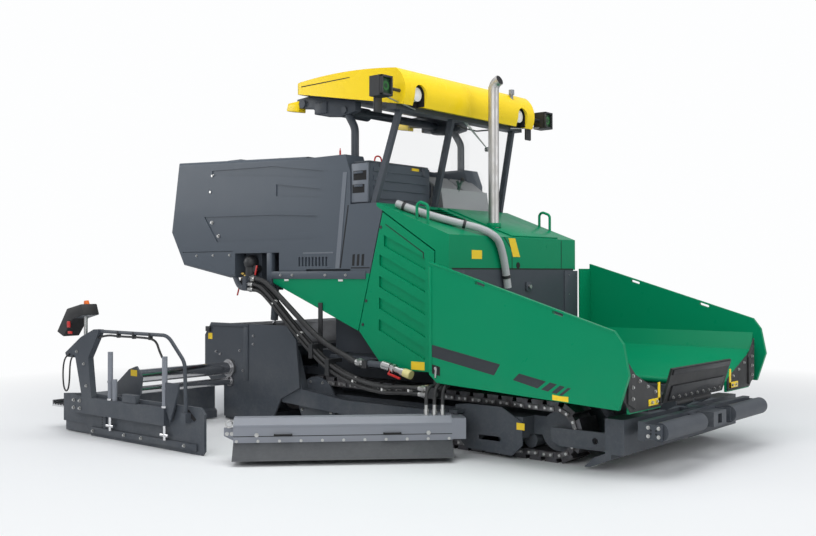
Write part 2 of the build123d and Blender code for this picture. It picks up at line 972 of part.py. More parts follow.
# Mirrors on arms at the roof's front corners
mirror_arm_radius = 18
mirror_size = (150, 170, 210)
mirror_x = 480
with BuildPart() as mirrors:
    for side in (-1, 1):
        rod((mirror_x, side * half_body, mirror_z), (mirror_x, side * mirror_y, mirror_z), mirror_arm_radius)
        block(
            (mirror_x - mirror_size[0] / 2, side * mirror_y - mirror_size[1] / 2, mirror_z - mirror_size[2] / 2),
            (mirror_x + mirror_size[0] / 2, side * mirror_y + mirror_size[1] / 2, mirror_z + mirror_size[2] / 2),
        )
save(mirrors.part, "mirrors")

# Exhaust pipe through the hood, with a slanted tip
with BuildPart() as exhaust:
    rod((exhaust_x, 0, hood_low), (exhaust_x, 0, exhaust_top), exhaust_radius)
    rod((exhaust_x, 0, hood_low), (exhaust_x, 0, exhaust_top), exhaust_radius - exhaust_wall, mode=Mode.SUBTRACT)
    extrude(
        outline(
            side_plane(exhaust_radius),
            (exhaust_x - exhaust_radius, exhaust_top),
            (exhaust_x + exhaust_radius, exhaust_top),
            (exhaust_x + exhaust_radius, exhaust_top - exhaust_radius),
        ),
        amount=2 * exhaust_radius,
        mode=Mode.SUBTRACT,
    )
save(exhaust.part, "exhaust_pipe")

# Grab handles on the hood's rear corners
handle_span = 150
with BuildPart() as handle:
    low = hood_top(handle_x + handle_span / 2)
    bent_tube(
        [
            (handle_x - handle_span / 2, -handle_y, low - panel / 2),
            (handle_x - handle_span / 2, -handle_y, low + handle_height),
            (handle_x + handle_span / 2, -handle_y, low + handle_height - handle_span * hood_slope),
            (handle_x + handle_span / 2, -handle_y, low - panel / 2),
        ],
        handle_radius,
        50,
    )
    extrude(
        outline(
            side_plane(half_body),
            (hood_rear, hood_rear_top),
            (bulkhead_front, hood_front_top),
            (bulkhead_front, hood_low),
            (hood_rear, hood_low),
        ),
        amount=2 * half_body,
        mode=Mode.SUBTRACT,
    )
save(both_sides(handle.part), "hood_handles")

# Vent hose: along the hood's top and down the bulkhead, in two clamps
vent_rise = vent_hose_radius + touch_gap
vent_y = -560
vent_x = bulkhead_front + vent_rise
with BuildPart() as vent_hose:
    bent_tube(
        [
            (330, -1120, hood_top(330) + vent_rise * 1.3),
            (560, -1060, hood_top(560) + vent_rise * 1.2),
            (830, -860, hood_top(830) + vent_rise * 1.2),
            (vent_x + 10, vent_y, hood_top(vent_x) + vent_rise * 1.6),
            (vent_x, -330, 2060),
            (vent_x, -250, 1640),
        ],
        vent_hose_radius,
        [160, 220, 190, 150],
    )
    block((540, -1085, hood_low), (590, -1035, hood_top(565) + vent_rise))
    block((bulkhead_front - panel, -285, 1690), (vent_x, -245, 1740))
    extrude(
        outline(
            side_plane(half_body),
            (hood_rear, hood_rear_top),
            (bulkhead_front, hood_front_top),
            (bulkhead_front, bulkhead_low),
            (hood_rear, bulkhead_low),
        ),
        amount=2 * half_body,
        mode=Mode.SUBTRACT,
    )
save(vent_hose.part, "vent_hose")

# Spray housing over the rear: hollow, with embossed sides, side lockers and a pump recess open to the right
housing_wall = 40
housing_edge = 45          # rounding of the housing's long edges
recess_rear = -2200
recess_front = -1400
recess_inner = 700
recess_top = 2050
emboss = 12
louvre_count = 9
louvre = (30, 105, 25)     # width, height and depth of one slot
louvre_pitch = 55
louvre_start = -1070
louvre_low = 1885
seam_level = 2070
seam_width = 12
emboss_bands = (
    ((-2640, 3100), (-1500, 3080), (-660, 2970), (-660, 2885), (-1500, 2960), (-2640, 3040)),
    ((-1450, 2860), (-700, 2765), (-715, 2665), (-1450, 2720)),
    ((-2800, 2520), (-1500, 2500), (-765, 2460), (-800, 2200), (-2550, 2200)),
)


def housing_side(y, inset):
    """The housing's side outline on a plane at y, drawn in by an inset."""
    with BuildSketch(side_plane(y)) as side:
        with BuildLine():
            Polyline(
                (spray_rear, (spray_chin + spray_top_rear) / 2 - 240),
                (spray_top_rear_x, spray_top_rear),
                (platform_rear, spray_top(platform_rear)),
                (platform_rear, platform_level),
                (rear_frame_tip, platform_level),
                (spray_belly_x, spray_belly),
                (spray_chin_x, spray_chin),
                close=True,
            )
        make_face()
        if inset:
            offset(amount=-inset, kind=Kind.INTERSECTION)
    return side.sketch


with BuildPart() as housing_void:
    extrude(housing_side(half_body - housing_wall, housing_wall), amount=2 * (half_body - housing_wall))
    block(
        (recess_rear - housing_wall, -half_body, platform_level - 4 * housing_wall),
        (recess_front + housing_wall, -recess_inner + housing_wall, recess_top + housing_wall),
        mode=Mode.SUBTRACT,
    )
with BuildPart() as spray_housing:
    extrude(housing_side(half_body, 0), amount=2 * half_body)
    rims = spray_housing.edges().group_by(Axis.Y)
    rims = [edge for edge in rims[0] + rims[-1] if abs(edge.center().X - platform_rear) > 1]
    fillet(rims, housing_edge)
    for y in (half_body, -half_body + cheek_depth):
        extrude(
            outline(
                side_plane(y),
                (platform_rear, floor_top),
                (side_panel_rear, floor_top),
                (side_panel_rear, spray_top_front - 200),
                (spray_front, spray_top_front),
                (platform_rear, spray_top_front),
            ),
            amount=cheek_depth,
        )
    add(housing_void.part, mode=Mode.SUBTRACT)
    block(
        (recess_rear, -half_body, platform_level - 4 * housing_wall),
        (recess_front, -recess_inner, recess_top),
        mode=Mode.SUBTRACT,
    )
    for y in (half_body, -half_body + emboss):
        for band in emboss_bands:
            extrude(outline(side_plane(y), *band), amount=emboss, mode=Mode.SUBTRACT)
        block(
            (spray_chin_x, y - emboss, seam_level),
            (recess_rear - housing_wall, y, seam_level + seam_width),
            mode=Mode.SUBTRACT,
        )
    for y in (-half_body, half_body - louvre[2]):
        for i in range(louvre_count):
            x = louvre_start + i * louvre_pitch
            block((x, y, louvre_low), (x + louvre[0], y + louvre[2], louvre_low + louvre[1]), mode=Mode.SUBTRACT)
save(spray_housing.part, "spray_housing")

# Spray pump in the recess, with a manifold that feeds the hoses
manifold_x = -1790
manifold_low = 1620
manifold_high = 1735
hose_spread = 30
with BuildPart() as spray_pump:
    block((-2150, -1120, manifold_low), (-1850, -780, recess_top))
    block((-1850, -hose_y - 70, manifold_low - 20), (manifold_x, -900, manifold_high + 35))
save(spray_pump.part, "spray_pump")

# Spray hoses: a bundle of four and a thick feed hose, from the manifold to the couplings
coupling_x = 970
feed_end = (60, 830)
bundle_route = [
    (manifold_x, 1645),
    (-1620, 1645),
    (-1430, 1520),
    (-1150, 1280),
    (-820, 1010),
    (-480, 770),
    (-80, 625),
    (330, 560),
    (650, 590),
    (coupling_x, 590),
]
bundle_bends = [180, 900, 900, 900, 900, 900, 900, 900]
feed_route = [
    (manifold_x, 1738),
    (-1600, 1738),
    (-1400, 1615),
    (-1080, 1385),
    (-720, 1120),
    (-430, 965),
    (-190, 885),
    (-70, feed_end[1]),
    feed_end,
]
feed_bends = [250, 900, 900, 500, 500, 300, 200]


def bundle_line(dy, dz):
    """The route of one hose of the bundle, beside its centre line."""
    return [(x, -hose_y + dy, z + dz) for x, z in bundle_route]


bundle_offsets = [
    (dy, dz) for dy in (-hose_spread, hose_spread) for dz in (-hose_spread, hose_spread)
]
feed_line = [(x, -hose_y + 12, z) for x, z in feed_route]
with BuildPart() as spray_hoses:
    for dy, dz in bundle_offsets:
        bent_tube(bundle_line(dy, dz), hose_radius, bundle_bends)
    bent_tube(feed_line, main_hose_radius, feed_bends)
save(spray_hoses.part, "spray_hoses")

# Hose clamps on the rear panel and the couplings at the hoses' ends
clamp_depth = 60
clamp_half = 80
hanger_clamp = (-700, 925)
shelf_clamp = (-440, 745)
with BuildPart() as hose_clamps:
    for x, z in (hanger_clamp, shelf_clamp):
        block(
            (x - clamp_depth / 2, -hose_y - 62, z - clamp_half),
            (x + clamp_depth / 2, -hose_y + 55, z + clamp_half),
        )
    block(
        (hanger_clamp[0] - clamp_depth / 2, -hose_y + 55, hanger_clamp[1] - clamp_half / 2),
        (hanger_clamp[0] + clamp_depth / 2, -half_body, hanger_clamp[1] + clamp_half),
    )
    block(
        (hanger_clamp[0] - clamp_depth / 2, -half_body - sheet, hanger_clamp[1]),
        (hanger_clamp[0] + clamp_depth / 2, -half_body, rear_edge(hanger_clamp[0]) + clamp_half),
    )
    block(
        (shelf_clamp[0] - clamp_depth / 2, -hose_y - 62, tunnel_roof - 40),
        (shelf_clamp[0] + clamp_depth / 2, -panel_inner, tunnel_roof),
    )
    for dy, dz in bundle_offsets:
        with BuildLine() as line:
            FilletPolyline(*bundle_line(dy, dz), radius=bundle_bends)
        with BuildSketch(Plane(origin=line.line @ 0, z_dir=line.line % 0)) as hole:
            Circle(hose_radius + touch_gap)
        sweep(hole.sketch, path=line.line, mode=Mode.SUBTRACT)
    block((coupling_x, -hose_y - 62, 530), (coupling_x + 110, -half_body - 40, 650))
    block((coupling_x, -half_body - 40, 530), (coupling_x + 110, -half_body, door_low + 60))
    block((feed_end[0], -hose_y - 34, feed_end[1] - 50), (feed_end[0] + 70, -half_body - 20, feed_end[1] + 34))
    block((feed_end[0], -half_body - 20, tunnel_roof), (feed_end[0] + 70, -panel_inner, feed_end[1] + 34))
save(hose_clamps.part, "hose_clamps")

# Lateral spray bars: body over a flared skirt, pivoted at the front end and swung out
bar_start = 80
bar_inner_edge = -57
bar_head_low = 200
bar_head_half = 55
bar_head_top = 400
bar_plane = Plane(
    origin=(bar_pivot[0], -bar_pivot[1], 0),
    x_dir=(cos(radians(180 + bar_angle)), sin(radians(180 + bar_angle)), 0),
    z_dir=(0, 0, 1),
)
bar_end_plane = Plane(
    origin=bar_plane.origin + bar_plane.x_dir * bar_start,
    x_dir=bar_plane.y_dir,
    z_dir=bar_plane.x_dir,
)
with BuildPart(bar_plane) as spray_bar_right:
    body_inner = bar_inner_edge + (bar_skirt_width - bar_body_width) / 2
    body_outer = body_inner + bar_body_width
    with BuildSketch(bar_end_plane):
        with BuildLine():
            Polyline(
                (bar_inner_edge, bar_low),
                (bar_inner_edge + bar_skirt_width, bar_low),
                (body_outer, bar_skirt_top),
                (body_outer, bar_top - 60),
                (body_outer - 60, bar_top),
                (body_inner, bar_top),
                (body_inner, bar_skirt_top),
                close=True,
            )
        make_face()
    extrude(amount=bar_length)
    block((-bar_head_half, -bar_head_half, bar_head_low), (bar_head_half, body_outer, bar_head_top))
    block((bar_head_half, body_inner, bar_head_low), (bar_start, body_outer, bar_head_top))
    rod(
        (bar_pivot[0], -bar_pivot[1], bar_head_low),
        (bar_pivot[0], -bar_pivot[1], bar_head_top),
        bar_pin_radius + touch_gap,
        mode=Mode.SUBTRACT,
    )
save(spray_bar_right.part, "spray_bar_right")
save(mirrored(spray_bar_right.part), "spray_bar_left")

# Brackets on the tow brackets' outer plates, with the pins that carry the spray bars
bar_bracket_half = 50
bar_bracket_top = bar_head_top + swing_gap / 2
with BuildPart() as bar_bracket_right:
    block(
        (bar_pivot[0] - bar_bracket_half, -bar_pivot[1] - bar_bracket_half, bar_bracket_top),
        (bar_pivot[0] + bar_bracket_half, -bracket_outer - sheet, bar_bracket_top + 2 * sheet),
    )
    rod(
        (bar_pivot[0], -bar_pivot[1], bar_head_low),
        (bar_pivot[0], -bar_pivot[1], bar_bracket_top),
        bar_pin_radius,
    )
save(both_sides(bar_bracket_right.part), "bar_brackets")

# Hopper wings: outer and rear wall, sloping floor, knuckle round the hinge pin, front flap and ram lugs
floor_rise = tan(wing_slope)
wing_wall = wing_outer - wing_plate


def wing_floor(y):
    """Height of the wing's floor surface at half width y."""
    return wing_hinge_z + (y - wing_hinge_y) * floor_rise + wing_plate / 2


wing_fall = degrees(atan2(wing_rear_top - wing_front_top, wing_front - wing_rear))
rear_wall = 20             # plate that closes the wing's rear end
rear_wall_inner = 1300
rear_wall_drop = 60        # from the wing's top corner to the plate's top
wing_slots = (1780, 2640)
wing_slot = (120, 28)
wing_slot_drop = 32


def wing_top(x):
    """Height of the wing's sloping top edge."""
    return wing_rear_top - (x - wing_rear) * tan(radians(wing_fall))


with BuildPart() as wing_right:
    with BuildSketch(side_plane(-wing_wall)) as wing_side:
        with BuildLine():
            Polyline(
                (wing_rear, wing_rear_top),
                (wing_front, wing_front_top),
                (wing_nose_x - 55, wing_front_top - 110),
                (wing_nose_x, wing_crease_z - 25),
                (wing_nose_x - 100, hopper_sill + 20),
                (wing_rear + 100, 720),
                (wing_rear, 800),
                close=True,
            )
        make_face()
        for x in wing_slots:
            with Locations((x, wing_top(x) - wing_slot_drop)):
                SlotOverall(*wing_slot, rotation=-wing_fall, mode=Mode.SUBTRACT)
    extrude(amount=wing_plate)
    extrude(
        outline(
            cross_plane(wing_rear),
            (-wing_hinge_y, wing_floor(wing_hinge_y)),
            (-wing_crease_y, wing_floor(wing_crease_y)),
            (-wing_wall, wing_floor(wing_crease_y) + 180),
            (-wing_wall, wing_floor(wing_crease_y) + 180 - wing_plate),
            (-wing_crease_y, wing_floor(wing_crease_y) - wing_plate),
            (-wing_hinge_y, wing_floor(wing_hinge_y) - wing_plate),
        ),
        amount=wing_front - wing_rear,
    )
    extrude(
        outline(
            cross_plane(wing_rear),
            (-rear_wall_inner, wing_floor(rear_wall_inner) - wing_plate / 2),
            (-wing_crease_y, wing_floor(wing_crease_y) - wing_plate / 2),
            (-wing_wall, wing_floor(wing_crease_y) + 180 - wing_plate / 2),
            (-wing_wall, wing_rear_top - rear_wall_drop),
            (-rear_wall_inner, wing_rear_top - rear_wall_drop),
        ),
        amount=rear_wall,
    )
    knuckle_ends = (wing_rear + 10, frame_front - 2 * swing_gap - hinge_lug)
    rod(
        (knuckle_ends[0], -wing_hinge_y, wing_hinge_z),
        (knuckle_ends[1], -wing_hinge_y, wing_hinge_z),
        wing_knuckle_radius,
    )
    extrude(
        outline(
            cross_plane(wing_front),
            (-wing_hinge_y - 20, apron_hinge_z),
            (-wing_hinge_y - 20, wing_floor(wing_hinge_y + 20)),
            (-1370, wing_floor(1370)),
            (-1370, apron_hinge_z),
        ),
        amount=flap_plate,
    )
    for x in (wing_ram_x - ram_eye_width / 2 - eye_gap - sheet, wing_ram_x + ram_eye_width / 2 + eye_gap):
        extrude(
            outline(
                cross_plane(x),
                (-wing_eye[0] + ram_eye_radius, wing_eye[1] - ram_eye_radius),
                (-wing_eye[0] - ram_eye_radius, wing_eye[1] - ram_eye_radius),
                (-wing_eye[0] - 2 * ram_eye_radius, wing_floor(wing_eye[0] + 2 * ram_eye_radius) - wing_plate / 2),
                (-wing_eye[0] + 2 * ram_eye_radius, wing_floor(wing_eye[0] - 2 * ram_eye_radius) - wing_plate / 2),
            ),
            amount=sheet,
        )
    rod(
        (wing_rear, -wing_hinge_y, wing_hinge_z),
        (wing_front, -wing_hinge_y, wing_hinge_z),
        wing_pin_radius + touch_gap,
        mode=Mode.SUBTRACT,
    )
    rod(
        (knuckle_ends[1], -wing_hinge_y, wing_hinge_z),
        (frame_front - swing_gap / 2, -wing_hinge_y, wing_hinge_z),
        2 * wing_knuckle_radius,
        mode=Mode.SUBTRACT,
    )
save(wing_right.part, "hopper_wing_right")
save(mirrored(wing_right.part), "hopper_wing_left")

# Hopper apron between the wings, leaning forward over the push rollers
with BuildPart() as apron:
    apron_plane = Plane(
        origin=(apron_hinge_x, 0, apron_hinge_z),
        x_dir=(0, 1, 0),
        z_dir=(cos(radians(apron_lean)), 0, -sin(radians(apron_lean))),
    )
    with BuildSketch(apron_plane.offset(-apron_plate / 2)):
        with Locations((0, apron_height / 2 + 30)):
            Rectangle(2 * apron_half_width, apron_height)
    extrude(amount=apron_plate)
    for low, high in zip(apron_lugs[:-1], apron_lugs[1:]):
        y0 = low + apron_lug_half + 5
        y1 = high - apron_lug_half - 5
        rod((apron_hinge_x, y0, apron_hinge_z), (apron_hinge_x, y1, apron_hinge_z), apron_pin_radius + 12)
        with BuildSketch(apron_plane.offset(-apron_plate / 2)):
            with Locations(((y0 + y1) / 2, 15)):
                Rectangle(y1 - y0, 40)
        extrude(amount=apron_plate)
    rod(
        (apron_hinge_x, -apron_half_width, apron_hinge_z),
        (apron_hinge_x, apron_half_width, apron_hinge_z),
        apron_pin_radius + touch_gap,
        mode=Mode.SUBTRACT,
    )
save(apron.part, "hopper_apron")

# Push beam: swivelling beam with a centre block, end plates and roller axles
push_lug_half = 58
push_web = 70
push_end_plate = 30
push_block_front = push_roller_x + 40
with BuildPart() as push_beam:
    block(
        (push_beam_rear, -push_end, push_roller_z - push_roller_radius),
        (push_beam_rear + push_web, push_end, push_roller_z + push_roller_radius),
    )
    block(
        (push_pivot_x, -push_lug_half, push_roller_z - 60),
        (push_beam_rear, push_lug_half, push_roller_z + 60),
    )
    rod(
        (push_pivot_x, 0, push_roller_z - 60),
        (push_pivot_x, 0, push_roller_z + 60),
        push_lug_half - 16,
    )
    for side in (-1, 1):
        for y in (side * push_end, side * (push_centre + push_end_plate)):
            block(
                (push_beam_rear + push_web, y, push_roller_z - 65),
                (push_block_front, y - side * push_end_plate, push_roller_z + 65),
            )
        rod(
            (push_roller_x, side * push_centre, push_roller_z),
            (push_roller_x, side * (push_end - push_end_plate / 2), push_roller_z),
            push_roller_bore,
        )
    block(
        (push_beam_rear + push_web, -push_centre / 2, push_roller_z - 70),
        (push_block_front + 20, push_centre / 2, push_roller_z + 70),
    )
    block(
        (push_roller_x, -45, push_roller_z - 45),
        (push_block_front + 20, 45, push_roller_z + 45),
        mode=Mode.SUBTRACT,
    )
    rod(
        (push_pivot_x, 0, push_roller_z - 60),
        (push_pivot_x, 0, push_roller_z + 60),
        push_pin_radius + touch_gap,
        mode=Mode.SUBTRACT,
    )
save(push_beam.part, "push_beam")

roller_ends = (push_centre + push_end_plate + 6, push_end - push_end_plate - 6)
with BuildPart() as push_roller_right:
    start = (push_roller_x, -roller_ends[0], push_roller_z)
    end = (push_roller_x, -roller_ends[1], push_roller_z)
    rod(start, end, push_roller_radius)
    rod(start, end, push_roller_bore + touch_gap, mode=Mode.SUBTRACT)
save(push_roller_right.part, "push_roller_right")
save(mirrored(push_roller_right.part), "push_roller_left")

# Tow arms: long arms from the tow pins to the screed's end plates
arm_rear = end_plate_front - 320
arm_outer = arm_inner + arm_width
arm_upright_top = 900
with BuildPart() as tow_arm_right:
    with BuildSketch(side_plane(-arm_inner)) as arm_side:
        with BuildLine():
            Polyline(
                (tow_x + 70, tow_z - 70),
                (tow_x + 70, tow_z + 60),
                (900, tow_z + 60),
                (-300, tow_z + 60),
                (end_plate_front + 20, tow_z + 130),
                (end_plate_front - 120, arm_upright_top),
                (arm_rear, arm_upright_top),
                (arm_rear, tow_z - 40),
                (-300, tow_z + 60 - arm_depth),
                (900, tow_z - 70),
                close=True,
            )
        make_face()
        with Locations((tow_x, tow_z)):
            Circle(tow_pin_radius + touch_gap, mode=Mode.SUBTRACT)
    extrude(amount=arm_width)
save(both_sides(tow_arm_right.part), "tow_arms")

# Main screed: heated box on the sole, guide beam for the extensions and two end plates
screed_inner = screed_half - screed_end_plate
guide_low = torque_tube_z - torque_tube_radius - 30
guide_top = tube_z + tube_radius + 30
top_beam_low = 780
top_beam = (-2100, -1700, 900)
with BuildPart() as main_screed:
    extrude(
        outline(
            side_plane(screed_inner),
            (screed_rear, screed_sole),
            (screed_front + 60, screed_sole),
            (screed_front + 60, screed_sole + 90),
            (screed_front, screed_sole + 120),
            (screed_front, screed_box),
            (screed_rear, screed_box),
        ),
        amount=2 * screed_inner,
    )
    block(
        (tube_x - guide_box / 2, -screed_inner, screed_box),
        (tube_x + guide_box / 2, screed_inner, guide_top),
    )
    block((top_beam[0], -screed_inner, screed_box), (top_beam[0] + 60, screed_inner, top_beam_low))
    block((top_beam[0], -screed_inner, top_beam_low), (top_beam[1], screed_inner, top_beam[2]))
    for side in (-1, 1):
        rod(
            (tube_x, 0, tube_z),
            (tube_x, side * screed_inner, tube_z),
            tube_radius + touch_gap,
            mode=Mode.SUBTRACT,
        )
        rod(
            (tube_x, 0, torque_tube_z),
            (tube_x, side * screed_inner, torque_tube_z),
            torque_tube_radius + touch_gap,
            mode=Mode.SUBTRACT,
        )
    for side in (-1, 1):
        for edge in (-ram_eye_width / 2 - eye_gap - sheet, ram_eye_width / 2 + eye_gap):
            y = side * lift_ram_y + edge
            extrude(
                outline(
                    side_plane(y + sheet),
                    (lift_eye[0] - 2 * ram_eye_radius, top_beam[2]),
                    (top_beam[1] - 40, top_beam[2]),
                    (top_beam[1], top_beam_low),
                    (lift_eye[0] + ram_eye_radius, lift_eye[1] - ram_eye_radius),
                    (lift_eye[0] + ram_eye_radius, lift_eye[1] + ram_eye_radius),
                    (lift_eye[0] - ram_eye_radius, lift_eye[1] + ram_eye_radius),
                ),
                amount=sheet,
            )
save(main_screed.part, "main_screed")

end_cut_top = screed_box + 40
with BuildPart() as screed_end_right:
    with BuildSketch(side_plane(-screed_inner)) as end_side:
        with BuildLine():
            Polyline(
                (screed_rear, screed_sole + 30),
                (screed_front + 300, screed_sole + 30),
                (arm_rear, tow_z),
                (end_plate_front, tow_z + 150),
                (end_plate_front - 60, end_plate_top - 160),
                (end_plate_front - 220, end_plate_top),
                (end_plate_rear + 120, end_plate_top),
                (end_plate_rear, end_plate_top - 160),
                (end_plate_rear, end_cut_top + 120),
                (end_plate_rear + 140, end_cut_top),
                (screed_rear, end_cut_top),
                close=True,
            )
        make_face()
        with Locations((tube_x, tube_z)):
            Circle(tube_radius + touch_gap, mode=Mode.SUBTRACT)
        with Locations((tube_x, torque_tube_z)):
            Circle(torque_tube_radius + touch_gap, mode=Mode.SUBTRACT)
    extrude(amount=screed_end_plate)
save(both_sides(screed_end_right.part), "screed_end_plates")

# Walkway on the main screed: grating between the end plates, with bars along it
walk_top = 1150
walk_bar = 30
with BuildPart() as walkway:
    block((end_plate_rear + 60, -screed_inner, walk_top - 30), (top_beam[0], screed_inner, walk_top))
    block((top_beam[0] - 40, -screed_inner, top_beam[2]), (top_beam[0] + 20, screed_inner, walk_top - 30))
    for i in range(6):
        x = end_plate_rear + 90 + i * 95
        block((x, -screed_inner, walk_top), (x + walk_bar, screed_inner, walk_top + 16))
save(walkway.part, "screed_walkway")

# Screed extensions: heated box behind the main screed, carrier plate and telescopic tubes
tube_inner = screed_half - 30
carrier_plate = 24
extension_inner = screed_half + swing_gap
step_rear = -3350
step_inner = 1500
step_level = 275
step_plate = 20
step_lip = 50
step_bar = 14
step_bars = 5
with BuildPart() as extension_right:
    extrude(
        outline(
            side_plane(-extension_inner),
            (extension_rear, screed_sole),
            (extension_front + 40, screed_sole),
            (extension_front + 40, screed_sole + 90),
            (extension_front, screed_sole + 120),
            (extension_front, screed_box),
            (extension_rear + 60, screed_box),
            (extension_rear, screed_box - 120),
        ),
        amount=extension_outer - extension_inner,
    )
    extrude(
        outline(
            side_plane(-carrier_y + carrier_plate / 2),
            (extension_front - 300, screed_box),
            (extension_front + 60, screed_box - 60),
            (tube_x + tube_radius, torque_tube_z - torque_tube_radius),
            (tube_x + tube_radius + 30, tube_z),
            (tube_x, tube_z + tube_radius + 40),
            (tube_x - tube_radius - 60, tube_z + tube_radius),
        ),
        amount=carrier_plate,
    )
    rod((tube_x, -tube_inner, tube_z), (tube_x, -carrier_y, tube_z), tube_radius)
    rod((tube_x, -tube_inner, torque_tube_z), (tube_x, -carrier_y, torque_tube_z), torque_tube_radius)
    block((step_rear, -extension_outer, step_level - step_plate), (extension_rear, -step_inner, step_level))
    block((step_rear, -extension_outer, step_level), (step_rear + step_plate, -step_inner, step_level + step_lip))
    for i in range(step_bars):
        x = step_rear + step_plate + (i + 0.5) * (extension_rear - step_rear - step_plate) / step_bars
        block((x - 8, -extension_outer, step_level), (x + 8, -step_inner, step_level + step_bar))
save(extension_right.part, "screed_extension_right")
save(mirrored(extension_right.part), "screed_extension_left")

# End gates: plate on a rail beam, height spindles, handrail and the screed's control box
gate_y = extension_outer + gate_plate
beam_low_z = 250
beam_high_z = 430
spindle_places = (-2060, -1090)
spindle_top = 950
spindle_tube = 26          # outer tube above the beam
spindle_low = 105
crank_level = 150
crank_half = 62
gate_arm = 70
gate_beam = (-2790, -1060)     # rear and front end of the rail beam
arm_outline = (
    (-2565, beam_high_z),
    (-2375, beam_high_z),
    (-2440, 870),
    (-2240, rail_top - rail_radius),
    (-2240, rail_top + rail_radius),
    (-2330, rail_top + rail_radius),
    (-2590, 1093),
    (-2905, 905),
    (-2880, 860),
    (-2695, 860),
)
rail_line = ((-2240, rail_top), (-1040, rail_top), (-760, rail_top - 260), (-740, gate_height - 100))
rail_foot_half = 35
control_width = 190
control_post = (-2540, 1060, 1330)     # x, low and high end
control_outline = (
    (-2960, 1150),
    (-2760, 1405),
    (-2480, 1460),
    (-2430, 1345),
    (-2640, 1300),
    (-2830, 1100),
)
with BuildPart() as end_gate_right:
    extrude(
        outline(
            side_plane(-extension_outer),
            (extension_rear, 120),
            (extension_rear, beam_high_z),
            (gate_rear, gate_height),
            (gate_front - 60, gate_height),
            (gate_front, gate_height - 60),
            (gate_front, 40),
            (gate_front - 40, 0),
            (gate_rear + 60, 0),
            (gate_rear - 60, 120),
        ),
        amount=gate_plate,
    )
    block((gate_beam[0], -gate_y - gate_arm, beam_low_z), (gate_beam[1], -gate_y, beam_high_z))
    gate_middle = -gate_y - gate_arm / 2
    for x in spindle_places:
        rod((x, gate_middle, beam_high_z), (x, gate_middle, spindle_top), spindle_tube)
        rod((x, gate_middle, spindle_low), (x, gate_middle, beam_low_z), spindle_radius)
        rod(
            (x - crank_half, gate_middle, crank_level),
            (x + crank_half, gate_middle, crank_level),
            spindle_radius,
        )
    extrude(outline(side_plane(-gate_y), *arm_outline), amount=gate_arm)
    bent_tube([(x, gate_middle, z) for x, z in rail_line], rail_radius, [220, 160])
    foot_x = rail_line[-1][0]
    block(
        (foot_x - rail_foot_half, -gate_y - gate_arm, gate_height - 160),
        (foot_x + rail_foot_half, -gate_y, gate_height - 60),
    )
    rod(
        (control_post[0], gate_middle, control_post[1]),
        (control_post[0], gate_middle, control_post[2]),
        rail_radius,
    )
    extrude(outline(side_plane(-gate_y + 60), *control_outline), amount=control_width)
save(end_gate_right.part, "end_gate_right")
save(mirrored(end_gate_right.part), "end_gate_left")

# Augers: flights on a shaft, hung from a carrier behind the frame
with BuildPart() as auger_right:
    rod((auger_x, -auger_inner, auger_z), (auger_x, -auger_outer, auger_z), auger_shaft)
    flights = int((auger_outer - auger_inner - auger_pitch / 2) / (auger_pitch / 2))
    for i in range(flights):
        y = -auger_inner - (i + 1) * auger_pitch / 2
        tilt = 20 if i % 2 else -20
        with Locations(Location((auger_x, y, auger_z), (90, 0, tilt))):
            Cylinder(auger_radius - 8, auger_flight)
save(auger_right.part, "auger_right")
save(mirrored(auger_right.part), "auger_left")

carrier_low = auger_z + auger_radius + 50
carrier_high = carrier_low + 90
carrier_half = 55
hanger_plate = 24
hanger_outer = auger_outer + 10
with BuildPart() as auger_carrier:
    block(
        (auger_x - carrier_half, -hanger_outer - hanger_plate, carrier_low),
        (auger_x + carrier_half, hanger_outer + hanger_plate, carrier_high),
    )
    for side in (-1, 1):
        block(
            (auger_x + carrier_half, side * frame_inner, carrier_low),
            (frame_rear, side * frame_outer, carrier_high),
        )
        block(
            (auger_x - carrier_half, side * hanger_outer, auger_z - carrier_half),
            (auger_x + carrier_half, side * (hanger_outer + hanger_plate), carrier_low),
        )
        rod(
            (auger_x, side * (auger_outer + 0.5), auger_z),
            (auger_x, side * hanger_outer, auger_z),
            auger_shaft,
        )
    block(
        (auger_x - carrier_half, -auger_inner + 0.5, auger_z - carrier_half),
        (auger_x + carrier_half, auger_inner - 0.5, carrier_low),
    )
save(auger_carrier.part, "auger_carrier")

# Hydraulic rams: a barrel pinned at its base and a rod that ends in an eye


def ram_barrel(base, eye, pin_axis, length):
    """The barrel of a ram from its base pin towards its eye, bored for the rod."""
    line = Plane(origin=base, x_dir=Vector(*eye) - Vector(*base), z_dir=pin_axis)
    with BuildPart(line) as barrel:
        Cylinder(ram_eye_radius, ram_eye_width)
        with Locations((ram_neck / 2, 0, 0)):
            Box(ram_neck, 1.4 * ram_eye_radius, ram_eye_width)
        with Locations(((ram_neck + length) / 2, 0, 0)):
            Cylinder(ram_radius, length - ram_neck, rotation=(0, 90, 0))
            Cylinder(ram_rod_radius + touch_gap, length - ram_neck, rotation=(0, 90, 0), mode=Mode.SUBTRACT)
        Cylinder(wing_pin_radius + touch_gap, ram_eye_width, mode=Mode.SUBTRACT)
    return barrel.part


def ram_rod(base, eye, pin_axis, inner):
    """The rod of a ram, from its inner end to the eye."""
    reach = (Vector(*eye) - Vector(*base)).length
    line = Plane(origin=base, x_dir=Vector(*eye) - Vector(*base), z_dir=pin_axis)
    with BuildPart(line) as piston_rod:
        with Locations(((inner + reach) / 2, 0, 0)):
            Cylinder(ram_rod_radius, reach - inner, rotation=(0, 90, 0))
        with Locations((reach, 0, 0)):
            Cylinder(ram_eye_radius, ram_eye_width)
    return piston_rod.part


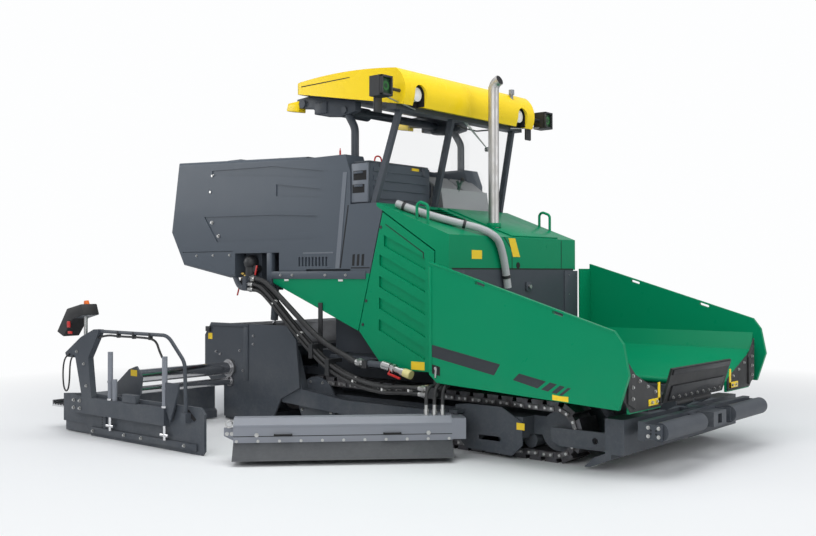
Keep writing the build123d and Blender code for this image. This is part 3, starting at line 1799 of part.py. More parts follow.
lift_pin = (lift_base[0], -lift_ram_y, lift_base[1])
lift_tip = (lift_eye[0], -lift_ram_y, lift_eye[1])
lift_barrel_right = ram_barrel(lift_pin, lift_tip, (0, 1, 0), lift_barrel)
lift_rod_right = ram_rod(lift_pin, lift_tip, (0, 1, 0), lift_barrel - ram_engaged)
save(lift_barrel_right, "lift_barrel_right")
save(mirrored(lift_barrel_right), "lift_barrel_left")
save(lift_rod_right, "lift_rod_right")
save(mirrored(lift_rod_right), "lift_rod_left")

wing_pin = (wing_ram_x, -wing_base[0], wing_base[1])
wing_tip = (wing_ram_x, -wing_eye[0], wing_eye[1])
wing_barrel_right = ram_barrel(wing_pin, wing_tip, (1, 0, 0), wing_barrel)
wing_rod_right = ram_rod(wing_pin, wing_tip, (1, 0, 0), 2.5 * ram_engaged)
save(wing_barrel_right, "wing_barrel_right")
save(mirrored(wing_barrel_right), "wing_barrel_left")
save(wing_rod_right, "wing_rod_right")
save(mirrored(wing_rod_right), "wing_rod_left")
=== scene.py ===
"""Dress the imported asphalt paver: paint, rubber, steel, glass and small fittings, at the photo's view."""
import math

import bmesh
import bpy
from mathutils import Matrix, Vector


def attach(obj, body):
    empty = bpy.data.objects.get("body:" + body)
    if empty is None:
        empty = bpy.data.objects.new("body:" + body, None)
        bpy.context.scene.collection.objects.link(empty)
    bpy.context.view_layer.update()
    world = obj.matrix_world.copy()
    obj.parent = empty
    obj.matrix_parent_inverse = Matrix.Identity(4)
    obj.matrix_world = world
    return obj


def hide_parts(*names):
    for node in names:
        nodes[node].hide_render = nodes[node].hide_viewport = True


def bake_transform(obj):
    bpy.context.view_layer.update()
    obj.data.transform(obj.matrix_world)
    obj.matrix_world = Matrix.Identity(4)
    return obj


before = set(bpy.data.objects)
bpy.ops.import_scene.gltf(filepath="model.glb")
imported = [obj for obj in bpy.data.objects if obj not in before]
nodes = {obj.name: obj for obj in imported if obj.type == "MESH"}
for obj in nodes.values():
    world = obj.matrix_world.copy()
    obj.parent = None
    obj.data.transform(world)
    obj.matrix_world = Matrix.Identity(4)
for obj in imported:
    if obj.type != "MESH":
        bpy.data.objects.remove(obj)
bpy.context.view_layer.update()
scene = bpy.context.scene
scene.view_settings.view_transform = "Standard"


# Camera and light

def aim(place, azimuth, elevation, roll):
    """The pose of a camera at a place, from its azimuth, elevation and roll in degrees."""
    turn, tilt = math.radians(azimuth), math.radians(elevation)
    back = Vector((math.sin(turn) * math.cos(tilt), -math.cos(turn) * math.cos(tilt), math.sin(tilt)))
    right = Vector((0, 0, 1)).cross(back).normalized()
    up = back.cross(right)
    lean = math.radians(roll)
    side = right * math.cos(lean) + up * math.sin(lean)
    head = up * math.cos(lean) - right * math.sin(lean)
    pose = Matrix((side, head, back)).transposed().to_4x4()
    return Matrix.Translation(place) @ pose


CAMERA_PLACE = Vector((7.3488, -9.2755, 1.7941))
CAMERA_AZIMUTH = 40.077
CAMERA_ELEVATION = -0.342
CAMERA_ROLL = -0.069
CAMERA_LENS = 43.85
camera_data = bpy.data.cameras.new("camera")
camera_data.sensor_width = 36.0
camera_data.lens = CAMERA_LENS
camera_data.clip_end = 200.0
camera = bpy.data.objects.new("camera", camera_data)
camera.matrix_world = aim(CAMERA_PLACE, CAMERA_AZIMUTH, CAMERA_ELEVATION, CAMERA_ROLL)
scene.collection.objects.link(camera)
scene.camera = camera


def soft_light(name, place, target, size, power, colour=(1, 1, 1)):
    """A large rectangular lamp that faces a point."""
    lamp = bpy.data.lights.new(name, "AREA")
    lamp.shape = "RECTANGLE"
    lamp.size, lamp.size_y = size
    lamp.energy = power
    lamp.color = colour
    holder = bpy.data.objects.new(name, lamp)
    holder.location = place
    holder.rotation_euler = (Vector(target) - Vector(place)).to_track_quat("-Z", "Y").to_euler()
    scene.collection.objects.link(holder)


soft_light("sky_panel", (1.0, -1.5, 9.5), (0, 0, 1), (11, 8), 620)
soft_light("side_panel", (5.5, -11.5, 5.5), (0.5, 0, 1.3), (7, 4), 330)
soft_light("front_panel", (11.5, 3.0, 4.5), (1.5, 0, 1.2), (6, 4), 240)
soft_light("rear_panel", (-9.0, -6.0, 5.0), (-1.5, 0, 1.5), (5, 4), 170)

world = bpy.data.worlds.new("studio")
world.use_nodes = True
scene.world = world
world_tree = world.node_tree
world_tree.nodes.clear()
world_out = world_tree.nodes.new("ShaderNodeOutputWorld")
world_mix = world_tree.nodes.new("ShaderNodeMixShader")
world_light = world_tree.nodes.new("ShaderNodeBackground")
world_light.inputs["Color"].default_value = (0.93, 0.96, 1.0, 1)
world_light.inputs["Strength"].default_value = 0.5
world_white = world_tree.nodes.new("ShaderNodeBackground")
world_white.inputs["Color"].default_value = (0.985, 0.99, 0.995, 1)
world_white.inputs["Strength"].default_value = 1.0
ray_kind = world_tree.nodes.new("ShaderNodeLightPath")
world_tree.links.new(ray_kind.outputs["Is Camera Ray"], world_mix.inputs["Fac"])
world_tree.links.new(world_light.outputs["Background"], world_mix.inputs[1])
world_tree.links.new(world_white.outputs["Background"], world_mix.inputs[2])
world_tree.links.new(world_mix.outputs["Shader"], world_out.inputs["Surface"])


# Shader groups shared by several finishes

def group(name, inputs, outputs):
    """An empty shader group with named sockets, and its two end nodes."""
    tree = bpy.data.node_groups.new(name, "ShaderNodeTree")
    for label, kind, value in inputs:
        socket = tree.interface.new_socket(label, in_out="INPUT", socket_type=kind)
        socket.default_value = value
    for label, kind in outputs:
        tree.interface.new_socket(label, in_out="OUTPUT", socket_type=kind)
    return tree, tree.nodes.new("NodeGroupInput"), tree.nodes.new("NodeGroupOutput")


def noise(tree, scale, detail=3.0, rough=0.55, stretch=None):
    """A noise texture on object coordinates, optionally stretched along an axis."""
    place = tree.nodes.new("ShaderNodeTexCoord")
    texture = tree.nodes.new("ShaderNodeTexNoise")
    texture.inputs["Scale"].default_value = scale
    texture.inputs["Detail"].default_value = detail
    texture.inputs["Roughness"].default_value = rough
    source = place.outputs["Object"]
    if stretch:
        mapping = tree.nodes.new("ShaderNodeMapping")
        mapping.inputs["Scale"].default_value = stretch
        tree.links.new(source, mapping.inputs["Vector"])
        source = mapping.outputs["Vector"]
    tree.links.new(source, texture.inputs["Vector"])
    return texture.outputs["Fac"]


def spread(tree, source, low, high, to_low=0.0, to_high=1.0):
    """Stretch the part of a value between two limits to a new range."""
    node = tree.nodes.new("ShaderNodeMapRange")
    node.inputs["From Min"].default_value = low
    node.inputs["From Max"].default_value = high
    node.inputs["To Min"].default_value = to_low
    node.inputs["To Max"].default_value = to_high
    tree.links.new(source, node.inputs["Value"])
    return node.outputs["Result"]


def combine(tree, kind, first, second):
    """A math node of two values, each a socket or a number."""
    node = tree.nodes.new("ShaderNodeMath")
    node.operation = kind
    for slot, value in enumerate((first, second)):
        if isinstance(value, (int, float)):
            node.inputs[slot].default_value = value
        else:
            tree.links.new(value, node.inputs[slot])
    return node.outputs["Value"]


def tint(tree, amount, first, second):
    """Mix two colours, each a socket or an RGBA tuple, by an amount socket or number."""
    node = tree.nodes.new("ShaderNodeMix")
    node.data_type = "RGBA"
    for slot, value in ((0, amount), (6, first), (7, second)):
        if hasattr(value, "is_linked"):
            tree.links.new(value, node.inputs[slot])
        else:
            node.inputs[slot].default_value = value
    return node.outputs[2]


def place_parts(tree):
    """The X, Y and Z of the point that is shaded."""
    place = tree.nodes.new("ShaderNodeTexCoord")
    parts = tree.nodes.new("ShaderNodeSeparateXYZ")
    tree.links.new(place.outputs["Object"], parts.inputs["Vector"])
    return parts.outputs["X"], parts.outputs["Y"], parts.outputs["Z"]


def build_road_dust():
    """Paint with a faint change of tone and a film of road dust that thickens towards the ground."""
    tree, start, end = group(
        "road_dust",
        [
            ("Paint", "NodeSocketColor", (0.5, 0.5, 0.5, 1)),
            ("Dust", "NodeSocketColor", (0.25, 0.255, 0.255, 1)),
            ("Amount", "NodeSocketFloat", 0.2),
            ("Gloss", "NodeSocketFloat", 0.3),
        ],
        [("Color", "NodeSocketColor"), ("Roughness", "NodeSocketFloat")],
    )
    patches = spread(tree, noise(tree, 2.4, 4.0, 0.62), 0.38, 0.72)
    specks = spread(tree, noise(tree, 31.0, 3.0, 0.7), 0.45, 0.8)
    low = spread(tree, place_parts(tree)[2], 0.05, 1.1, 1.0, 0.12)
    film = combine(tree, "ADD", combine(tree, "MULTIPLY", specks, 0.55), patches)
    film = combine(tree, "MULTIPLY", film, low)
    film = combine(tree, "MULTIPLY", film, start.outputs["Amount"])
    tone = spread(tree, noise(tree, 0.9, 2.0, 0.5), 0.3, 0.7, 0.0, 0.10)
    toned = tint(tree, tone, start.outputs["Paint"], (0.9, 0.95, 0.95, 1))
    toned = tint(tree, combine(tree, "MULTIPLY", tone, 0.3), start.outputs["Paint"], toned)
    tree.links.new(tint(tree, film, toned, start.outputs["Dust"]), end.inputs["Color"])
    rough = combine(tree, "ADD", start.outputs["Gloss"], combine(tree, "MULTIPLY", film, 0.9))
    smear = spread(tree, noise(tree, 5.5, 3.0, 0.6), 0.3, 0.7, -0.03, 0.05)
    tree.links.new(combine(tree, "ADD", rough, smear), end.inputs["Roughness"])
    return tree


def build_surface_grain():
    """Height for a bump: orange peel, cast skin or moulded grain, by scale."""
    tree, start, end = group(
        "surface_grain",
        [("Scale", "NodeSocketFloat", 200.0), ("Depth", "NodeSocketFloat", 0.5)],
        [("Height", "NodeSocketFloat")],
    )
    place = tree.nodes.new("ShaderNodeTexCoord")
    texture = tree.nodes.new("ShaderNodeTexNoise")
    texture.inputs["Detail"].default_value = 2.0
    tree.links.new(start.outputs["Scale"], texture.inputs["Scale"])
    tree.links.new(place.outputs["Object"], texture.inputs["Vector"])
    height = combine(tree, "MULTIPLY", texture.outputs["Fac"], start.outputs["Depth"])
    tree.links.new(height, end.inputs["Height"])
    return tree


def build_rubbed_metal():
    """Bare metal with streaks along the rubbing and blotches of rust or oil."""
    tree, start, end = group(
        "rubbed_metal",
        [
            ("Metal", "NodeSocketColor", (0.5, 0.5, 0.5, 1)),
            ("Stain", "NodeSocketColor", (0.1, 0.08, 0.07, 1)),
            ("Stain Amount", "NodeSocketFloat", 0.3),
            ("Gloss", "NodeSocketFloat", 0.3),
        ],
        [("Color", "NodeSocketColor"), ("Roughness", "NodeSocketFloat"), ("Height", "NodeSocketFloat")],
    )
    streaks = noise(tree, 40.0, 3.0, 0.6, (1.0, 6.0, 6.0))
    blotches = spread(tree, noise(tree, 7.0, 5.0, 0.65), 0.42, 0.75)
    stain = combine(tree, "MULTIPLY", blotches, start.outputs["Stain Amount"])
    tree.links.new(tint(tree, stain, start.outputs["Metal"], start.outputs["Stain"]), end.inputs["Color"])
    rough = combine(tree, "ADD", start.outputs["Gloss"], spread(tree, streaks, 0.3, 0.7, -0.06, 0.10))
    rough = combine(tree, "ADD", rough, combine(tree, "MULTIPLY", stain, 0.5))
    tree.links.new(rough, end.inputs["Roughness"])
    tree.links.new(streaks, end.inputs["Height"])
    return tree


road_dust = build_road_dust()
surface_grain = build_surface_grain()
rubbed_metal = build_rubbed_metal()


def blank_material(name):
    """A material with one Principled shader, and its tree."""
    finish = bpy.data.materials.new(name)
    finish.use_nodes = True
    tree = finish.node_tree
    tree.nodes.clear()
    shader = tree.nodes.new("ShaderNodeBsdfPrincipled")
    out = tree.nodes.new("ShaderNodeOutputMaterial")
    tree.links.new(shader.outputs["BSDF"], out.inputs["Surface"])
    return finish, tree, shader


def place_group(tree, kind, **values):
    """A node of a shared group with its own values."""
    node = tree.nodes.new("ShaderNodeGroup")
    node.node_tree = kind
    for label, value in values.items():
        node.inputs[label.replace("_", " ")].default_value = value
    return node


def bump(tree, shader, height, strength, distance):
    """Feed a height to the shader's normal."""
    node = tree.nodes.new("ShaderNodeBump")
    node.inputs["Strength"].default_value = strength
    node.inputs["Distance"].default_value = distance
    tree.links.new(height, node.inputs["Height"])
    tree.links.new(node.outputs["Normal"], shader.inputs["Normal"])


def paint(name, colour, dust=0.25, gloss=0.3, coat=0.1, peel=0.25, shine=0.2):
    """Sprayed paint with road dust and a little orange peel."""
    finish, tree, shader = blank_material(name)
    film = place_group(tree, road_dust, Paint=(*colour, 1), Amount=dust, Gloss=gloss)
    tree.links.new(film.outputs["Color"], shader.inputs["Base Color"])
    tree.links.new(film.outputs["Roughness"], shader.inputs["Roughness"])
    shader.inputs["Specular IOR Level"].default_value = shine
    shader.inputs["Coat Weight"].default_value = coat
    shader.inputs["Coat Roughness"].default_value = 0.12
    grain = place_group(tree, surface_grain, Scale=260.0, Depth=1.0)
    bump(tree, shader, grain.outputs["Height"], peel, 0.0006)
    return finish


def metal(name, colour, stain, amount, gloss, scratch=0.12):
    """Bare or plated metal."""
    finish, tree, shader = blank_material(name)
    skin = place_group(
        tree, rubbed_metal, Metal=(*colour, 1), Stain=(*stain, 1), Stain_Amount=amount, Gloss=gloss
    )
    tree.links.new(skin.outputs["Color"], shader.inputs["Base Color"])
    tree.links.new(skin.outputs["Roughness"], shader.inputs["Roughness"])
    shader.inputs["Metallic"].default_value = 1.0
    bump(tree, shader, skin.outputs["Height"], scratch, 0.0005)
    return finish


def plastic(name, colour, gloss=0.5, grain=140.0, depth=0.4, dust=0.15):
    """Moulded plastic or rubber with a fine grain."""
    finish, tree, shader = blank_material(name)
    film = place_group(tree, road_dust, Paint=(*colour, 1), Amount=dust, Gloss=gloss)
    tree.links.new(film.outputs["Color"], shader.inputs["Base Color"])
    tree.links.new(film.outputs["Roughness"], shader.inputs["Roughness"])
    skin = place_group(tree, surface_grain, Scale=grain, Depth=1.0)
    bump(tree, shader, skin.outputs["Height"], depth, 0.0008)
    return finish


DARK_GREY = (0.058, 0.067, 0.081)
LIGHT_GREY = (0.235, 0.25, 0.285)
green_paint = paint("green_paint", (0.0, 0.245, 0.108), 0.04, 0.30, 0.06, shine=0.12)
grey_paint = paint("grey_paint", (0.078, 0.094, 0.115), 0.08, 0.36, 0.08)
dark_paint = paint("dark_paint", DARK_GREY, 0.22, 0.40, 0.08)
light_grey_paint = paint("light_grey_paint", LIGHT_GREY, 0.16, 0.40, 0.08)
roller_paint = paint("roller_paint", (0.062, 0.070, 0.083), 0.2, 0.45, 0.03)
yellow_paint = paint("yellow_paint", (0.93, 0.66, 0.01), 0.06, 0.24, 0.2)
black_paint = paint("black_paint", (0.018, 0.019, 0.022), 0.20, 0.42, 0.1)
steel = metal("steel", (0.42, 0.42, 0.43), (0.10, 0.09, 0.08), 0.25, 0.34)
worn_steel = metal("worn_steel", (0.13, 0.13, 0.14), (0.05, 0.035, 0.025), 0.6, 0.46, 0.3)
stainless = metal("stainless", (0.55, 0.54, 0.53), (0.34, 0.29, 0.23), 0.30, 0.42)
chrome = metal("chrome", (0.72, 0.72, 0.73), (0.4, 0.4, 0.4), 0.05, 0.08, 0.02)
cast_iron = paint("cast_iron", (0.05, 0.052, 0.056), 0.35, 0.6, 0.0, 0.6)
rubber = plastic("rubber", (0.014, 0.014, 0.015), 0.55, 120.0, 0.35, 0.25)
black_plastic = plastic("black_plastic", (0.02, 0.021, 0.023), 0.45, 190.0, 0.4, 0.12)
seat_cloth = plastic("seat_cloth", (0.035, 0.037, 0.042), 0.8, 420.0, 0.8, 0.05)
console_grey = plastic("console_grey", (0.36, 0.37, 0.38), 0.5, 210.0, 0.4, 0.08)
hose_grey = plastic("hose_grey", (0.48, 0.49, 0.50), 0.45, 150.0, 0.3, 0.10)
lamp_white = plastic("lamp_white", (0.82, 0.83, 0.83), 0.2, 90.0, 0.1, 0.03)


def clear_glass(name, colour):
    """Thin see-through pane."""
    finish, tree, shader = blank_material(name)
    film = place_group(tree, road_dust, Paint=(*colour, 1), Amount=0.05, Gloss=0.04)
    tree.links.new(film.outputs["Color"], shader.inputs["Base Color"])
    tree.links.new(film.outputs["Roughness"], shader.inputs["Roughness"])
    shader.inputs["Transmission Weight"].default_value = 1.0
    shader.inputs["IOR"].default_value = 1.06
    shader.inputs["Alpha"].default_value = 0.09
    return finish


pane = clear_glass("pane", (0.90, 0.95, 0.93))


def wear(finish, *names):
    """Give CAD nodes a finish."""
    for name in names:
        slots = nodes[name].data.materials
        slots.clear()
        slots.append(finish)


SIDES = ("right", "left")
wear(green_paint, "hood", "rear_panels", "hood_handles")
wear(green_paint, *[f"side_door_{side}" for side in SIDES], *[f"hopper_wing_{side}" for side in SIDES])
wear(grey_paint, "side_panels", "locker", "spray_housing")
wear(dark_paint, "bulkhead", "main_frame", "rear_frame", "undercarriage", "track_guards", "tow_brackets")
wear(dark_paint, "platform", "windscreen_posts", "roof_frame", "spray_pump", "bar_brackets")
wear(dark_paint, "auger_carrier", "push_beam", "tow_arms", "main_screed", "screed_end_plates")
wear(worn_steel, "conveyor", "track_right", "track_left", "auger_right", "auger_left")
wear(cast_iron, "engine")
wear(seat_cloth, "seats")
wear(console_grey, "console")
wear(pane, "windscreen_glass")
wear(yellow_paint, "roof_shell")
wear(lamp_white, "roof_lamps")
wear(black_plastic, "mirrors", "hose_clamps")
wear(stainless, "exhaust_pipe")
wear(hose_grey, "vent_hose")
wear(rubber, "spray_hoses", "hopper_apron")
wear(roller_paint, "push_roller_right", "push_roller_left")
wear(steel, "screed_walkway")
for side in SIDES:
    wear(dark_paint, f"end_gate_{side}", f"lift_barrel_{side}", f"wing_barrel_{side}")
    wear(chrome, f"lift_rod_{side}", f"wing_rod_{side}")


# Tools for the new pieces

def piece(name, shape, finish, body):
    """Turn a finished bmesh into a piece that rides on a body."""
    bmesh.ops.recalc_face_normals(shape, faces=shape.faces[:])
    mesh = bpy.data.meshes.new(name)
    shape.to_mesh(mesh)
    shape.free()
    mesh.shade_smooth()
    mesh.set_sharp_from_angle(angle=math.radians(35))
    mesh.materials.append(finish)
    made = bpy.data.objects.new(name, mesh)
    scene.collection.objects.link(made)
    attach(made, body)
    return made


def soften(shape, verts, width, segments=2):
    """Bevel every edge of the given vertices."""
    if width:
        edges = list({edge for vert in verts for edge in vert.link_edges})
        bmesh.ops.bevel(
            shape, geom=edges, offset=width, segments=segments, profile=0.5, affect="EDGES", material=-1
        )


def facing(place, axis):
    """A matrix that puts local Z along an axis at a place."""
    return Matrix.Translation(place) @ Vector(axis).to_track_quat("Z", "Y").to_matrix().to_4x4()


def add_box(shape, low, high, round_by=0.0):
    """A box between two opposite corners."""
    low, high = Vector(low), Vector(high)
    size = Vector([abs(b - a) for a, b in zip(low, high)])
    place = Matrix.Translation((low + high) / 2) @ Matrix.Diagonal((*size, 1))
    made = bmesh.ops.create_cube(shape, size=1.0, matrix=place)
    soften(shape, made["verts"], round_by)


def add_round(shape, start, end, radius, sides=16, end_radius=None):
    """A round bar or a cone between two points."""
    start, end = Vector(start), Vector(end)
    bmesh.ops.create_cone(
        shape,
        cap_ends=True,
        segments=sides,
        radius1=radius,
        radius2=radius if end_radius is None else end_radius,
        depth=(end - start).length,
        matrix=facing((start + end) / 2, end - start),
    )


def add_bolt(shape, place, axis, size=0.018):
    """A hexagon bolt head on its washer, standing on a face."""
    place, axis = Vector(place), Vector(axis).normalized()
    add_round(shape, place, place + axis * size * 0.2, size * 0.8, 14)
    add_round(shape, place + axis * size * 0.2, place + axis * size * 0.8, size * 0.58, 6)


def add_plate(shape, corners, lift, round_by=0.0):
    """A flat plate on the given corners, thickened by a lift vector."""
    face = shape.faces.new([shape.verts.new(corner) for corner in corners])
    grown = bmesh.ops.extrude_face_region(shape, geom=[face])
    moved = [item for item in grown["geom"] if isinstance(item, bmesh.types.BMVert)]
    bmesh.ops.translate(shape, verts=moved, vec=lift)
    soften(shape, list(face.verts) + moved, round_by)


def at_y(y, outline):
    """The points of an outline drawn in X and Z, at one Y."""
    return [(x, y, z) for x, z in outline]


def at_x(x, s, outline):
    """The points of an outline drawn in half width and Z, at one X and on one hand."""
    return [(x, s * y, z) for y, z in outline]


def oblong(x1, x2, z1, z2):
    """The outline of an upright rectangle in X and Z."""
    return ((x1, z2), (x2, z2), (x2, z1), (x1, z1))


def add_strip(shape, y, outline, lift):
    """A flat strip on a side wall, raised outwards."""
    add_plate(shape, at_y(y, outline), (0, lift, 0))


def round_line(name, points, radius, finish):
    """A smooth round curve along a few control points."""
    curve = bpy.data.curves.new(name, "CURVE")
    curve.dimensions = "3D"
    curve.bevel_depth = radius
    curve.bevel_resolution = 4
    curve.use_fill_caps = True
    spline = curve.splines.new("NURBS")
    spline.points.add(len(points) - 1)
    for knot, place in zip(spline.points, points):
        knot.co = (*place, 1.0)
    spline.order_u = 3
    spline.use_endpoint_u = True
    spline.resolution_u = 12
    curve.materials.append(finish)
    return bpy.data.objects.new(name, curve)


def pipe(name, points, radius, finish, body):
    """A round line that rides on a body."""
    made = round_line(name, points, radius, finish)
    scene.collection.objects.link(made)
    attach(made, body)
    return made


HANDS = (("right", -1), ("left", 1))
BODY_WALL = 1.25
EXHAUST_X = 0.82


# Finishes for the small fittings

stripe_grey = paint("stripe_grey", (0.035, 0.040, 0.046), 0.08, 0.35, 0.05)
label_yellow = paint("label_yellow", (0.90, 0.62, 0.03), 0.08, 0.40, 0.1)
bright_bolt = metal("bright_bolt", (0.55, 0.55, 0.54), (0.25, 0.22, 0.18), 0.15, 0.28)
tie_white = plastic("tie_white", (0.72, 0.72, 0.70), 0.5, 100.0, 0.1, 0.05)
signal_red = plastic("signal_red", (0.55, 0.015, 0.012), 0.35, 120.0, 0.1, 0.05)
signal_orange = plastic("signal_orange", (0.85, 0.17, 0.02), 0.3, 120.0, 0.1, 0.05)
shadow_black = plastic("shadow_black", (0.008, 0.008, 0.009), 0.8, 80.0, 0.2, 0.05)
lamp_glass = plastic("lamp_glass", (0.012, 0.045, 0.018), 0.08, 60.0, 0.1, 0.02)
lever_green = plastic("lever_green", (0.005, 0.06, 0.035), 0.35, 120.0, 0.1, 0.05)
panel_light = paint("panel_light", (0.15, 0.168, 0.195), 0.06, 0.4, 0.15)
brass_metal = metal("brass_metal", (0.60, 0.42, 0.12), (0.2, 0.13, 0.04), 0.3, 0.3)
lens_green = plastic("lens_green", (0.02, 0.13, 0.025), 0.12, 60.0, 0.1, 0.02)
cap_yellow = plastic("cap_yellow", (0.78, 0.70, 0.30), 0.5, 100.0, 0.1, 0.05)
link_steel = metal("link_steel", (0.20, 0.20, 0.205), (0.07, 0.05, 0.04), 0.5, 0.40, 0.2)


# Hopper wings: stripes, plain plates, rubber flaps with their bolts and yellow corner irons

WING_WALL = 1.6
WING_STRIPES = (
    ((1.176, 1.098), (2.015, 0.946), (1.946, 0.838), (1.176, 0.978)),
    ((2.227, 0.875), (2.518, 0.821), (2.427, 0.751), (2.160, 0.810)),
    ((2.560, 0.815), (2.633, 0.802), (2.539, 0.732), (2.465, 0.745)),
    ((2.664, 0.795), (2.716, 0.786), (2.628, 0.717), (2.576, 0.726)),
    ((2.747, 0.781), (2.777, 0.776), (2.685, 0.705), (2.654, 0.710)),
)
WING_PLATE = ((2.585, 0.708), (2.66, 0.700), (2.75, 0.700), (2.75, 0.652), (2.585, 0.660))
WING_LOCK = ((1.20, 0.90), (1.30, 0.88), (1.30, 0.79), (1.20, 0.81))
WING_HOOK = ((1.245, 0.86), (1.27, 0.86), (1.255, 0.77), (1.235, 0.77))
WING_RIMS = (
    ((1.162, 1.912), (3.199, 1.298), (3.199, 1.284), (1.162, 1.898)),
    ((1.162, 1.87), (1.20, 1.86), (1.20, 0.83), (1.162, 0.83)),
)
FLAP_REAR = 3.226
FLAP_FRONT = 3.238
FLAP_OUTLINE = ((0.765, 0.575), (0.765, 0.70), (1.36, 0.94), (1.50, 1.09), (1.50, 0.70), (1.36, 0.575))
FLAP_PAD = ((1.30, 0.60), (1.30, 0.90), (1.44, 1.02), (1.44, 0.66))
FLAP_PAD_DEPTH = 0.02
IRON_DEPTH = 0.005
IRON_FOOT = 0.66


def dress_wing(side, s):
    """Stripes, plain plate, lock, hook and rims on the outer side of one hopper wing."""
    wall = s * WING_WALL
    out = Vector((0, s, 0))
    stripes = bmesh.new()
    for outline in WING_STRIPES:
        add_plate(stripes, at_y(wall, outline), out * 0.0012)
    piece(f"wing_stripes_{side}", stripes, stripe_grey, f"wing_{side}")
    plates = bmesh.new()
    add_plate(plates, at_y(wall, WING_PLATE), out * 0.002)
    piece(f"wing_plate_{side}", plates, label_yellow, f"wing_{side}")
    lock = bmesh.new()
    add_plate(lock, at_y(wall, WING_LOCK), out * 0.0015)
    piece(f"wing_lock_{side}", lock, shadow_black, f"wing_{side}")
    hook = bmesh.new()
    add_round(hook, (1.255, wall, 0.865), (1.255, wall + s * 0.02, 0.865), 0.016)
    add_plate(hook, at_y(wall, WING_HOOK), out * 0.012, 0.002)
    piece(f"wing_hook_{side}", hook, bright_bolt, f"wing_{side}")
    rim = bmesh.new()
    for outline in WING_RIMS:
        add_plate(rim, at_y(wall, outline), out * 0.006, 0.002)
    piece(f"wing_rim_{side}", rim, green_paint, f"wing_{side}")


def dress_flap(side, s):
    """Rubber flap at the front of one hopper wing, with its corner irons and bolts."""
    flap = bmesh.new()
    add_plate(flap, at_x(FLAP_REAR, s, FLAP_OUTLINE), (FLAP_FRONT - FLAP_REAR, 0, 0), 0.003)
    add_plate(flap, at_x(FLAP_FRONT, s, FLAP_PAD), (FLAP_PAD_DEPTH, 0, 0), 0.004)
    piece(f"wing_flap_{side}", flap, rubber, f"wing_{side}")
    irons = bmesh.new()
    for outer, top in ((0.845, 0.80), (1.03, IRON_FOOT)):
        add_box(irons, (FLAP_FRONT, s * 0.80, 0.60), (FLAP_FRONT + IRON_DEPTH, s * outer, top), 0.001)
    piece(f"corner_iron_{side}", irons, yellow_paint, f"wing_{side}")
    bolts = bmesh.new()
    for y, z in ((0.87, 0.63), (0.97, 0.63), (0.9, 0.72), (1.05, 0.78), (1.2, 0.84)):
        on_iron = z < IRON_FOOT
        add_bolt(bolts, (FLAP_FRONT + IRON_DEPTH * on_iron, s * y, z), (1, 0, 0), 0.02)
    for z in (0.70, 0.80, 0.90):
        add_bolt(bolts, (FLAP_FRONT + FLAP_PAD_DEPTH, s * 1.37, z), (1, 0, 0), 0.022)
    piece(f"flap_bolts_{side}", bolts, bright_bolt, f"wing_{side}")


for side, s in HANDS:
    dress_wing(side, s)
    dress_flap(side, s)


# Apron: centre plate with its bolt row

apron_turn = Matrix.Translation((3.19, 0, 0.562)) @ Matrix.Rotation(math.radians(17), 4, "Y")
apron_plate = bmesh.new()
add_box(apron_plate, (0.013, -0.60, 0.05), (0.028, 0.60, 0.20), 0.003)
add_box(apron_plate, (0.013, -0.66, 0.31), (0.024, 0.66, 0.362), 0.003)
bmesh.ops.transform(apron_plate, matrix=apron_turn, verts=apron_plate.verts)
piece("apron_plate", apron_plate, black_paint, "apron")
apron_bolts = bmesh.new()
for i in range(9):
    add_bolt(apron_bolts, (0.028, -0.54 + i * 0.135, 0.085), (1, 0, 0), 0.02)
bmesh.ops.transform(apron_bolts, matrix=apron_turn, verts=apron_bolts.verts)
piece("apron_bolts", apron_bolts, bright_bolt, "apron")


# Finishes that change along a piece

CARRIER_INNER = 2.636
TUBE_REAR = -2.36
STEP_FRONT = -3.055
SKIRT_TOP = 0.193


def blend_value(tree, amount, first, second):
    """Mix two values by an amount."""
    kept = combine(tree, "MULTIPLY", combine(tree, "SUBTRACT", 1.0, amount), first)
    return combine(tree, "ADD", kept, combine(tree, "MULTIPLY", amount, second))


def extension_finish():
    """Dark paint, with bright guide tubes up to the carrier plate and a bright step at the rear."""
    finish, tree, shader = blank_material("extension_paint")
    film = place_group(tree, road_dust, Paint=(*DARK_GREY, 1), Amount=0.3, Gloss=0.4)
    bare = place_group(tree, rubbed_metal, Metal=(0.66, 0.66, 0.67, 1), Stain_Amount=0.1, Gloss=0.12)
    x, y, _ = place_parts(tree)
    beside = combine(tree, "LESS_THAN", combine(tree, "ABSOLUTE", y, 0.0), CARRIER_INNER)
    tube = combine(tree, "MULTIPLY", combine(tree, "GREATER_THAN", x, TUBE_REAR), beside)
    tube = combine(tree, "MAXIMUM", tube, combine(tree, "LESS_THAN", x, STEP_FRONT))
    colour = tint(tree, tube, film.outputs["Color"], bare.outputs["Color"])
    tree.links.new(colour, shader.inputs["Base Color"])
    rough = blend_value(tree, tube, film.outputs["Roughness"], bare.outputs["Roughness"])
    tree.links.new(rough, shader.inputs["Roughness"])
    tree.links.new(tube, shader.inputs["Metallic"])
    return finish


def bar_finish():
    """Light grey spray bar over a darker skirt."""
    finish, tree, shader = blank_material("bar_paint")
    body = place_group(tree, road_dust, Paint=(*LIGHT_GREY, 1), Amount=0.16, Gloss=0.42)
    skirt = place_group(tree, road_dust, Paint=(0.036, 0.040, 0.046, 1), Amount=0.14, Gloss=0.5)
    _, _, z = place_parts(tree)
    low = combine(tree, "LESS_THAN", z, SKIRT_TOP)
    colour = tint(tree, low, body.outputs["Color"], skirt.outputs["Color"])
    tree.links.new(colour, shader.inputs["Base Color"])
    rough = blend_value(tree, low, body.outputs["Roughness"], skirt.outputs["Roughness"])
    tree.links.new(rough, shader.inputs["Roughness"])
    return finish


